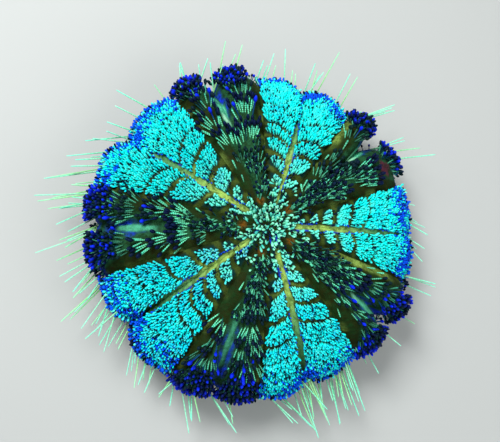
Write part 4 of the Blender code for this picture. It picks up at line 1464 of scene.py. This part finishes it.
@dataclass
class DarkCoat(Coat):
    """The clubs of a dark field in tufts on both sides of its middle, and the globes on its two lobes."""

    club: Sort = Sort(CLUB, 6.4 * MM, 1.8 * MM, 63.0, 7.0, 0.13, 0.05)
    small_club: Sort = Sort(CLUB, 4.3 * MM, 1.3 * MM, 40.0, 12.0, 0.2)
    fleck: Sort = Sort(FLECK, 3.2 * MM, 1.15 * MM, 56.0, 22.0, 0.2, 0.05)
    stray: Sort = Sort(FLECK, 4.4 * MM, 0.9 * MM, 62.0, 14.0, 0.25, 0.05)
    globe: Sort = Sort(GLOBE, 5.6 * MM, 1.5 * MM, 0.0, 7.0, 0.18)
    small_globe: Sort = Sort(GLOBE, 4.0 * MM, 1.35 * MM, 18.0, 12.0, 0.2)
    tuft_grid: Grid = Grid(1.5, 1.7, 0.5)
    middle_grid: Grid = Grid(1.5, 1.45, 0.55)
    stray_grid: Grid = Grid(3.4, 2.6, 1.2)
    ball_grid: Grid = Grid(1.5, 1.45, 0.4)
    rim_grid: Grid = Grid(1.8, 1.8, 0.5)
    middle_arcs: Pair = (14.5 * MM, 50.0 * MM)
    stray_arcs: Pair = (22.0 * MM, 72.0 * MM)
    ball_turns: Pair = (60.0, 107.0)
    rim_turns: Pair = (78.0, 106.0)
    longer: float = 2.6 * MM  # what the palest combs gain
    raised: float = 26.0  # degrees by which the clubs near the crown stand up more
    fan: float = 15.0  # degrees that the ends of a comb spread
    bow: float = 1.3 * MM  # how far the ends of a comb lie back

    def tuft(self, number: int, tuft: Tuft) -> Spines:
        """One tuft of clubs: rows side by side, the ends of each row a little nearer to the centre.

        Args:
            number: Which field.
            tuft: Its place and size.

        Returns:
            The clubs.
        """
        shape, marks, club = self.shape, self.marks, self.club
        row, step, jitter = self.tuft_grid.row * MM, self.tuft_grid.step * MM, self.tuft_grid.jitter
        start, middle, end = extent(number)
        angle = middle + tuft.across * (middle - start if tuft.across < 0 else end - middle)
        arc = shape.arc_at(shape.turn_at(tuft.share, True)) - 0.7 * self.longer * tuft.glow
        half = 0.5 * tuft.width * MM
        across, out = np.meshgrid(np.arange(-half, half + 0.5 * step, step), row * np.arange(tuft.rows))
        across = (across + 0.5 * step * (out / row % 2)).ravel()
        out = out.ravel() - self.bow * (across / half) ** 2
        across = across + self.rng.uniform(-0.4, 0.4, len(across)) * MM
        out = out + self.rng.uniform(-jitter, jitter, len(out)) * MM
        radius = tuft.share * shape.reach_at(angle)
        sites = Sites(angle + np.degrees(across / radius), shape.turn_of(arc + out))
        place = self.at(sites)
        keep = (self.draw(len(across)) < 0.94) & (marks.from_bar(place) > 2.4 * MM)
        keep &= (place.margin > 1.2 * MM) & place.dark
        sites, across = sites.where(keep), across[keep]
        further, inner, rim = (float(smooth(np.array(tuft.share), *span))
                               for span in ((0.2, 0.55), (0.5, 0.25), (0.45, 0.95)))
        size = 0.66 + 0.34 * further
        sort = replace(club, length=(club.length + self.longer * tuft.glow) * size,
                       width=club.width * (0.5 + 0.5 * size), lean=club.lean - self.raised * inner)
        made = self.grow(sites, sort, self.chance(len(across), 0.18 * rim, 0.06), None,
                         self.fan * across / half)
        made.tint = np.clip(1.0 - tuft.glow + 0.4 * (made.tint - 0.5), 0.0, 1.0)
        return made.keep(self.off_bar(made))

    def off_bar(self, spines: Spines) -> Array:
        """Which spines leave the bar and the purple spot in sight."""
        shape, marks = self.shape, self.marks
        tip = spines.root + spines.aim * spines.length[:, None]
        east, north = tip[:, 0] - shape.axis[0], tip[:, 1] - shape.axis[1]
        angle = np.degrees(np.arctan2(north, east))
        share = np.hypot(east, north) / shape.place(angle, np.full_like(angle, RIM)).reach
        turn = np.degrees(np.arcsin(np.clip(share, 0.0, 1.0) ** (shape.dome_power / 2.0)))
        off_spot = marks.from_plum(angle, turn) > 0.8 * marks.plum_size
        return (marks.from_bar(shape.place(angle, turn)) > 2.1 * MM) & off_spot

    def middle(self, number: int) -> list[Spines]:
        """The loose small clubs and pale flecks in the inner half of the field."""
        marks = self.marks
        sites = self.field_sites(number, self.middle_arcs, self.middle_grid)
        place = self.at(sites)
        margin, arc = place.margin, place.arc
        clump = wander(arc / (2.0 * MM), place.from_middle * 0.16, number * 1.7)
        side = np.where(place.second, place.share, place.share - 1.0)
        clump = clump + 1.2 * marks.of_bar(place, "heavy") * side - 0.9 * smooth(arc, 34.0 * MM, 52.0 * MM)
        bare = clump < 0.75 - 1.3 * marks.of_bar(place, "full")
        sites = sites.where((margin > marks.bare_margin(place)) & ~bare)
        pick = self.draw(len(sites.angle))
        club, fleck = sites.where(pick < 0.55), sites.where(pick > 0.55)
        clubs = self.grow(club, self.small_club, self.chance(len(club.angle), 0.0, 0.2))
        clubs.tint = 0.35 + 0.6 * clubs.tint
        flecks = self.grow(fleck, self.fleck)
        flecks.tint = 0.6 * flecks.tint**1.5
        return [clubs, flecks]

    def strays(self, number: int) -> Spines:
        """A few pale spines that stand alone on the bare margins."""
        sites = self.field_sites(number, self.stray_arcs, self.stray_grid)
        place = self.at(sites)
        margin = place.margin
        keep = (margin > 1.4 * MM) & (margin < self.marks.bare_margin(place) + 0.5 * MM)
        made = self.grow(sites.where(keep & (self.draw(len(margin)) < 0.16)), self.stray)
        made.tint = 0.6 * made.tint
        return made

    def pompom(self, number: int, side: int) -> Spines:
        """The ball of globes on one lobe, 0 or 1; the bar, the groove and the purple spot stay bare."""
        shape, marks, bar = self.shape, self.marks, BARS[number // 2]
        low, high = extent(number)[side:side + 2]
        sites = self.sites(low, high, *self.arcs(self.ball_turns), self.ball_grid)
        place, around = self.at(sites), np.radians(sites.angle)
        turned = bar.balls[side]
        offset = place.lobe_lateral - place.radius * math.radians(turned)
        begin = smooth(sites.turn, 58.0, 72.0)
        half = (0.45 + 0.55 * begin) * bar.ball * MM
        ragged = 0.85 + 0.15 * np.sin(7.0 * sites.angle)
        keep = (np.abs(offset) < half) & (marks.from_bar(place) > 2.6 * MM)
        keep &= np.abs(place.lateral) > (1.5 + 2.5 * begin) * MM
        keep &= ~(marks.from_plum(sites.angle, sites.turn) < marks.plum_size * ragged)
        sites, around = sites.where(keep), around[keep]
        quarter = np.radians((low + high) / 2 + turned)
        reach = shape.reach_at((low + high) / 2) - 9.5 * MM
        centre = np.array([shape.axis[0] + reach * math.cos(quarter),
                           shape.axis[1] + reach * math.sin(quarter), shape.ambitus + 1.5 * MM])
        root, _, outward, _ = shape.frame_at(sites.angle, sites.turn)
        aim = unit(root - centre) + 0.35 * outward
        rim = smooth(sites.turn, 66.0, 84.0)
        patchy = smooth(wander(around * 26.0, sites.turn / 5.0, number * 1.1), -0.35, 0.45)
        draw, royal = self.draw(len(rim)), (0.24 + 0.56 * rim) * patchy
        deeper = self.draw(len(rim))
        black = np.where(draw < 0.6 + 0.4 * royal, 1.0 - 0.4 * deeper**3, 0.0)
        shade = np.where(draw < royal, 0.5 + 0.22 * deeper**2, black)
        made = self.grow(sites, self.globe, shade, aim)
        made.tint = 0.35 + 0.65 * made.tint
        return made

    def edging(self, number: int) -> Spines:
        """The small globes at the rim between and beside the lobes."""
        bar = BARS[number // 2]
        rim = self.field_sites(number, self.arcs(self.rim_turns), self.rim_grid)
        place = self.at(rim)
        beside = np.abs(place.lateral) > 4.5 * MM
        kept = np.where(beside, bar.edged, min(bar.edged, 0.25)) > self.draw(len(beside))
        rim = rim.where((np.abs(place.lobe_lateral) > bar.ball * MM) & kept)
        return self.grow(rim, self.small_globe, self.chance(len(rim.angle), 0.3, 0.5))

    def make(self, number: int, finish: Material) -> Piece:
        """Builds one field's coat as a joined piece."""
        groups = [*(self.tuft(number, tuft) for tuft in TUFTS[number // 2]), *self.middle(number),
                  self.strays(number), self.pompom(number, 0), self.pompom(number, 1), self.edging(number)]
        return spine_piece(f"{FIELDS[number].name}_spines", groups, finish)


@dataclass
class Crown(Coat):
    """The small spines of the apical disc, most of them pale, with dark ones among them."""

    leaf: Sort = Sort(PETAL, 2.7 * MM, 1.4 * MM, 44.0, 24.0, 0.25)
    dot: Sort = Sort(DOT, 2.9 * MM, 0.8 * MM, 12.0, 14.0, 0.15)
    halo_leaf: Sort = Sort(PETAL, 2.3 * MM, 1.25 * MM, 54.0, 30.0, 0.25)
    halo_dot: Sort = Sort(DOT, 2.6 * MM, 0.8 * MM, 16.0, 14.0, 0.15)
    grid: Grid = Grid(1.35, 1.3, 0.6)
    halo_grid: Grid = Grid(1.3, 1.25, 0.5)
    first_row: float = 0.7 * MM
    reach: float = 12.5 * MM
    halo_arcs: Pair = (11.0 * MM, 23.0 * MM)
    laid: float = 22.0  # degrees by which the leaves lie lower away from the apex

    def make(self, finish: Material) -> Piece:
        """Builds the piece."""
        sites = self.sites(0.0, FULL_TURN, self.first_row, self.reach, self.grid)
        arc, around = self.shape.arc(sites.turn), np.radians(sites.angle)
        edge = self.reach * (0.76 + 0.24 * wander(around * 5.0, arc / (9.0 * MM), 0.3))
        clump = wander(around * 9.0 + 2.0, arc / (1.1 * MM), 0.8)
        sites = sites.where((arc < edge) & (clump > -0.65))
        pick = self.draw(len(sites.angle))
        pale, bulbs = sites.where(pick < 0.8), sites.where(pick > 0.63)
        lean = self.leaf.lean + self.laid * smooth(pale.turn, 0.0, 10.0)
        leaves = self.grow(pale, replace(self.leaf, lean=lean))
        leaves.tint = leaves.tint**2
        dots = self.grow(bulbs, self.dot, 0.5 + 0.5 * (self.draw(len(bulbs.angle)) < 0.93))
        return spine_piece("apical_spines", [leaves, dots, *self.halo()], finish)

    def halo(self) -> list[Spines]:
        """The loose clusters of small pale spines and dark dots that surround the crown."""
        sites = self.sites(0.0, FULL_TURN, *self.halo_arcs, self.halo_grid)
        place = self.at(sites)
        arc = place.arc
        masks = self.marks.masks(sites.angle, sites.turn)
        clump = wander(np.radians(sites.angle) * 15.0, arc / (1.5 * MM), 2.6)
        thin = 0.75 * smooth(arc, *self.halo_arcs) + np.where(place.dark, 0.55, 0.0)
        free = (masks["midline"] < 0.2) & (masks["spot"] < 0.25)
        free &= np.abs(place.lateral) > 1.2 * MM
        sites = sites.where(free & (clump > thin - 0.35))
        pick = self.draw(len(sites.angle))
        leaves = self.grow(sites.where(pick < 0.66), self.halo_leaf)
        leaves.tint = 0.9 * leaves.tint**1.3
        return [leaves, self.grow(sites.where(pick > 0.7), self.halo_dot, 1.0)]


# Each needle of the photograph: its angle at the rim, its heading, and how far it stands out in millimetres.
NEEDLES = (
    (134, 154, 15), (143, 190, 22), (146, 165, 10), (146, 178, 16), (151, 190, 24), (157, 186, 10),
    (160, 183, 11), (161, 190, 24), (164, 190, 8), (167, 180, 7), (169, 190, 24), (170, 187, 23),
    (172, 195, 11), (173, 181, 8), (175, 207, 12), (178, 210, 8), (181, 202, 13), (182, 214, 11),
    (183, 201, 24), (187, 205, 12), (189, 208, 10), (191, 210, 15), (195, 229, 14), (198, 235, 7),
    (200, 226, 15), (200, 223, 23), (203, 236, 16), (205, 240, 11), (206, 254, 13), (210, 256, 15),
    (211, 222, 15), (214, 240, 11), (216, 265, 22), (216, 243, 12), (221, 268, 8), (225, 263, 14),
    (229, 248, 12), (230, 264, 9), (233, 246, 10), (240, 236, 7), (240, 260, 12), (242, 281, 22),
    (244, 277, 15), (246, 283, 12), (251, 304, 20), (254, 298, 12), (259, 279, 9), (271, 318, 17),
    (272, 312, 15), (276, 315, 21), (282, 288, 13), (284, 312, 13), (284, 285, 23), (287, 283, 16),
    (288, 289, 18), (293, 276, 7), (296, 277, 20), (297, 278, 11), (298, 280, 24), (300, 282, 14),
    (302, 285, 9), (303, 289, 21), (312, 300, 9), (283, 291, 20), (286, 287, 12), (290, 286, 21),
    (292, 283, 15), (295, 284, 10), (299, 286, 18), (301, 290, 22), (320, 322, 10), (329, 330, 9),
    (340, 336, 15), (342, 339, 13), (355, 315, 8), (359, 322, 9), (3, 326, 8), (5, 332, 7), (12, 350, 6),
    (28, 8, 20), (33, 9, 21), (35, 23, 16), (35, 16, 13), (38, 1, 11), (50, 21, 22), (50, 17, 16),
    (50, 14, 12), (51, 35, 8), (56, 61, 15), (67, 63, 20), (68, 75, 11), (70, 60, 13), (71, 71, 17),
    (74, 90, 6), (76, 85, 8), (80, 91, 13), (85, 77, 8), (89, 75, 10), (92, 73, 6), (100, 75, 10),
    (107, 80, 16), (110, 101, 9), (113, 98, 8), (114, 71, 9), (117, 114, 6), (122, 92, 9), (127, 128, 7),
)


@dataclass
class Needles(Coat):
    """The long needles round the rim, most of them single and some with a neighbour."""

    hidden: float = 7.5 * MM  # how much of each stands in the coat
    shortest: float = 3.0 * MM
    width: float = 0.66 * MM
    twins: float = 0.4  # share of the needles with a neighbour
    turns: Pair = (78.0, 112.0)
    rises: Pair = (-3.0, 20.0)  # degrees above the horizontal
    yellower: float = 0.3  # share of them

    def make(self, finish: Material) -> Piece:
        """Builds the piece, with every tip inside the solids' box."""
        seen = np.array(NEEDLES, dtype=float)
        twin = seen[self.draw(len(seen)) < self.twins]
        twin = twin * [1.0, 1.0, 0.8] + self.rng.normal(0.0, 1.0, twin.shape) * [2.0, 6.0, 2.0]
        angle, heading, length = np.concatenate([seen, twin]).T
        turn = self.rng.uniform(*self.turns, len(angle))
        rise, around = np.radians(self.rng.uniform(*self.rises, len(angle))), np.radians(heading)
        aim = np.stack([np.cos(around) * np.cos(rise), np.sin(around) * np.cos(rise), np.sin(rise)], 1)
        length = np.maximum(length * MM, self.shortest) + self.hidden
        shade = np.where(self.draw(len(angle)) < self.yellower, 0.4, 0.05)
        spines = self.grow(Sites(angle, turn), Sort(NEEDLE, length, self.width, 0.0, 1.0, 0.04), shade, aim)
        low, high = (np.array(corner) for corner in CAD_BOX)
        for side in (0, 1):
            reach = spines.aim[:, side] * spines.length
            limit = np.where(reach > 0, high[side] - spines.root[:, side], spines.root[:, side] - low[side])
            spines.length = spines.length * np.minimum(1.0, limit / np.maximum(np.abs(reach), 1e-6) * 0.99)
        return spine_piece("needle_spines", [spines], finish)


@dataclass
class LowerSide(Coat):
    """The hooved spines that the animal stands on, shorter ones among them, and its tube feet."""

    short: Sort = Sort(BLADE, 5.0 * MM, 1.1 * MM, -12.0, 12.0, 0.25)
    tube: Sort = Sort(TUBE, 7.0 * MM, 1.3 * MM, 8.0, 16.0, 0.25, 0.05)
    foot_grid: Grid = Grid(6.5, 6.5, 1.2)
    short_grid: Grid = Grid(3.9, 3.7, 1.1)
    tube_grid: Grid = Grid(6.2, 6.0, 1.8)
    foot_width: float = 2.1 * MM
    foot_shares: Pair = (0.93, 0.36)  # of the way to the rim
    short_turns: Pair = (106.0, 172.3)
    stance: float = 1.05
    hoof_clearance: float = 0.35 * MM
    plate_rows: tuple[float, ...] = (21.2, 18.6, 16.0, 13.5, 11.2, 9.1, 7.3)  # how far out, in millimetres
    plate_columns: int = 20
    plate_length: float = 3.4 * MM
    plate_dip: float = 0.14

    def plates(self) -> Spines:
        """The plates round the mouth, each row lapping over the next one inwards."""
        shape = self.shape
        rows, columns = np.meshgrid(np.arange(len(self.plate_rows)), np.arange(self.plate_columns))
        rows, columns = rows.ravel(), columns.ravel()
        angle = FULL_TURN * (columns + 0.5 * (rows % 2)) / self.plate_columns
        around, radius = np.radians(angle), np.array(self.plate_rows)[rows] * MM
        mouth = np.array(Skin.mouth[::-1]) * MM
        brink = np.array([shape.turn_at(shape.membrane_radius / shape.mean_reach, False)])
        at_brink = shape.heights(shape.place(np.zeros(1), brink))[0]
        out = np.stack([np.cos(around), np.sin(around), 0.0 * around], 1)
        side = np.stack([-out[:, 1], out[:, 0], 0.0 * around], 1)
        root = out * radius[:, None] + [*shape.axis, 0.0]
        root[:, 2] = np.interp(radius, mouth[:, 0], [*mouth[:-1, 1], at_brink]) + 0.05 * MM
        width = 1.22 * 2 * np.pi * (radius - 0.5 * self.plate_length) / self.plate_columns
        count, turn = len(radius), 180.0 - 12.0 * radius / (22.0 * MM)
        return Spines(PLATE, root, unit(-out + [0.0, 0.0, -self.plate_dip]), side,
                      np.full(count, self.plate_length), width, shape.unwrap(angle, turn),
                      np.zeros((count, 3)), self.draw(count), np.full(count, 0.5))

    def make(self, finish: Material) -> Piece:
        """Builds the piece."""
        shape = self.shape
        outer, inner = (shape.arc_at(shape.turn_at(share, False)) for share in self.foot_shares)
        stand = self.sites(0.0, FULL_TURN, outer, inner, self.foot_grid)
        root, _, _, _ = shape.frame_at(stand.angle, stand.turn)
        reach = root * np.array([self.stance, self.stance, 0.0]) - root
        length = np.linalg.norm(reach, axis=1)
        feet = self.grow(stand, Sort(FOOT, length, self.foot_width), 0.0, unit(reach))
        feet.length = length - self.hoof_clearance
        near, far = self.arcs(self.short_turns)
        low = self.grow(self.sites(0.0, FULL_TURN, near, far, self.short_grid), self.short)
        tubes = self.grow(self.sites(0.0, FULL_TURN, outer, far, self.tube_grid), self.tube, 1.0)
        return spine_piece("lower_spines", [feet, low, tubes, self.plates()], finish)


@dataclass
class Teeth:
    """The five teeth of the mouth, ridged by their growth and worn to an edge."""

    shape: BodyShape
    # From the root down to the tip: distance from the axis, half width, depth and height, in millimetres.
    stations: tuple[tuple[float, float, float, float], ...] = (
        (3.2, 1.1, 1.6, 18.6), (2.7, 1.0, 1.5, 15.5), (1.2, 0.35, 0.9, 12.5))
    taper: float = 0.6
    levels: int = 30
    sides: int = 18
    squareness: float = 0.62
    ridge: float = 0.025
    ridge_length: float = 0.45 * MM
    edge: float = 1.1 * MM

    def make(self, number: int, finish: Material) -> Piece:
        """Builds one tooth where the solids have it.

        Args:
            number: Which tooth, from 1.
            finish: Its material.

        Returns:
            The object.
        """
        low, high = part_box(f"tooth_{number}")
        middle = [(low[side] + high[side]) / 2 - self.shape.axis[side] for side in (0, 1)]
        turned = math.atan2(middle[1], middle[0])
        out, half, depth, station = np.array(self.stations).T * MM
        z = np.linspace(station[0], station[-1], self.levels)
        out, half, depth = (np.interp(-z, -station, values)[:, None] for values in (out, half, depth))
        worn = 0.3 + 0.7 * smooth(z, station[-1], station[-1] + self.edge)[:, None]
        around = 2 * np.pi * np.arange(self.sides) / self.sides
        c, s = (np.sign(f(around)) * np.abs(f(around)) ** self.squareness for f in (np.cos, np.sin))
        grown = 1.0 + self.ridge * np.sin(2 * np.pi * z / self.ridge_length)[:, None]
        x = out + 0.5 * depth * worn * grown * c
        y = half * grown * (self.taper + (1.0 - self.taper) * 0.5 * (c + 1.0)) * s
        points = np.stack([self.shape.axis[0] + x * math.cos(turned) - y * math.sin(turned),
                           self.shape.axis[1] + x * math.sin(turned) + y * math.cos(turned),
                           z[:, None] + 0.0 * x], -1).reshape(-1, 3)
        quads, k = ring_quads(self.levels, self.sides), np.arange(self.sides)
        last = self.sides * (self.levels - 1)
        corners = np.concatenate([quads.ravel(), k, (last + k)[::-1]])
        totals = np.concatenate([np.full(len(quads), 4), [self.sides, self.sides]])
        along = np.repeat(np.linspace(0.0, 1.0, self.levels), self.sides)
        turn = np.tile(around, self.levels)
        spot = np.array([0.93, 0.3 + 0.03 * number])
        uv = spot + 0.01 * np.stack([np.cos(turn), np.sin(turn)], 1) * (0.3 + 0.7 * along)[:, None]
        zero = np.zeros(len(points))
        arrays = {"points": points, "corners": corners, "totals": totals, "uv": uv[corners],
                  "along": along, "tint": zero, "shade": zero}
        return build_mesh(f"urchin_tooth_{number}", arrays, finish)


@dataclass(frozen=True)
class Studio:
    """The floor, the lights and the camera."""

    shape: BodyShape
    tilt: float = 12.0
    bearing: float = 212.0
    distance: float = 0.358
    lens: float = 49.7
    look: Pair = (-5.0 * MM, 2.6 * MM)
    floor_colour: Colour = (0.42, 0.44, 0.43)

    def camera(self) -> None:
        """Sets the camera as the photograph was taken: from above, with +Y up in the picture."""
        axis, look = self.shape.axis, self.look
        target = Vector((axis[0] + look[0], axis[1] + look[1], self.shape.ambitus))
        tilt, bearing = math.radians(self.tilt), math.radians(self.bearing)
        level = math.sin(tilt)
        back = Vector((level * math.cos(bearing), level * math.sin(bearing), math.cos(tilt)))
        right = (-back).cross(Vector((0.0, 1.0, 0.0))).normalized()
        up = back.cross(right)
        data = bpy.data.cameras.new("camera")
        data.lens = self.lens
        data.clip_start = 0.01
        camera = bpy.data.objects.new("camera", data)
        turned = Matrix((right, up, back)).transposed().to_4x4()
        camera.matrix_world = Matrix.Translation(target + back * self.distance) @ turned
        bpy.context.scene.collection.objects.link(camera)
        bpy.context.scene.camera = camera

    def light(self, name: str, spot: tuple[float, float, float], size: float, power: float) -> None:
        """Adds a soft square light that faces the body."""
        data = bpy.data.lights.new(name, "AREA")
        data.size = size
        data.energy = power
        lamp = bpy.data.objects.new(name, data)
        lamp.location = spot
        towards = Vector((0.0, 0.0, 0.02)) - Vector(spot)
        lamp.rotation_euler = towards.to_track_quat("-Z", "Y").to_euler()
        bpy.context.scene.collection.objects.link(lamp)

    def floor(self) -> None:
        """Lays a plain pale floor."""
        made, _, shader = shader_of("floor", 0.8, 0.2)
        shader.inputs["Base Color"].default_value = (*self.floor_colour, 1.0)
        mesh = bpy.data.meshes.new("floor")
        mesh.from_pydata([(-3, -3, 0), (3, -3, 0), (3, 3, 0), (-3, 3, 0)], [], [(0, 1, 2, 3)])
        mesh.materials.append(made)
        obj = bpy.data.objects.new("floor", mesh)
        bpy.context.scene.collection.objects.link(obj)

    def make(self) -> None:
        """Builds the studio."""
        scene = bpy.context.scene
        scene.view_settings.view_transform = "Standard"
        world = bpy.data.worlds.new("studio")
        world.use_nodes = True
        world.node_tree.nodes["Background"].inputs["Color"].default_value = (0.95, 0.98, 1.0, 1.0)
        world.node_tree.nodes["Background"].inputs["Strength"].default_value = 0.3
        scene.world = world
        self.floor()
        self.light("key", (-0.3, 0.35, 0.65), 0.3, 8.5)
        self.light("fill", (0.55, -0.3, 0.55), 0.6, 3.0)
        self.light("front", (0.0, -0.8, 0.35), 0.6, 1.5)
        self.camera()


def dress(obj: Piece) -> None:
    """Hangs a piece on the body and reports it."""
    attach(obj, "root")
    triangles = sum(len(p.vertices) - 2 for p in obj.data.polygons)
    LOG.info("%s: %d triangles", obj.name, triangles)


def main() -> None:
    """Builds the skin, the coat and the studio in order."""
    logging.basicConfig(level=logging.INFO, format="%(message)s")
    low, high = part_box("peristome")
    shape = BodyShape(((low[0] + high[0]) / 2, (low[1] + high[1]) / 2))
    marks = Markings(shape)
    effects = Effects()
    skin = Skin(shape, marks).make(SkinFinish(effects).make())
    dress(skin)
    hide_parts(*[f.name for f in FIELDS], "apical_disc", "peristome")
    blades, clubs = BLADE_FINISH.make(effects), CLUB_FINISH.make(effects)
    for number, here in enumerate(FIELDS):
        rng = np.random.default_rng(100 + number)
        if here.kind is Kind.PALE:
            dress(PaleCoat(shape, marks, rng).make(number, blades))
        else:
            dress(DarkCoat(shape, marks, rng).make(number, clubs))
    dress(Crown(shape, marks, np.random.default_rng(7)).make(CROWN_FINISH.make(effects)))
    rng = np.random.default_rng(8)
    dress(Needles(shape, marks, rng).make(NEEDLE_FINISH.make(effects)))
    dress(LowerSide(shape, marks, rng).make(UNDER_FINISH.make(effects)))
    ivory = TOOTH_FINISH.make(effects)
    for number in range(1, TOOTH_COUNT + 1):
        tooth = Teeth(shape).make(number, ivory)
        dress(tooth)
        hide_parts(f"tooth_{number}")
    Studio(shape).make()


if __name__ == "__main__":
    main()
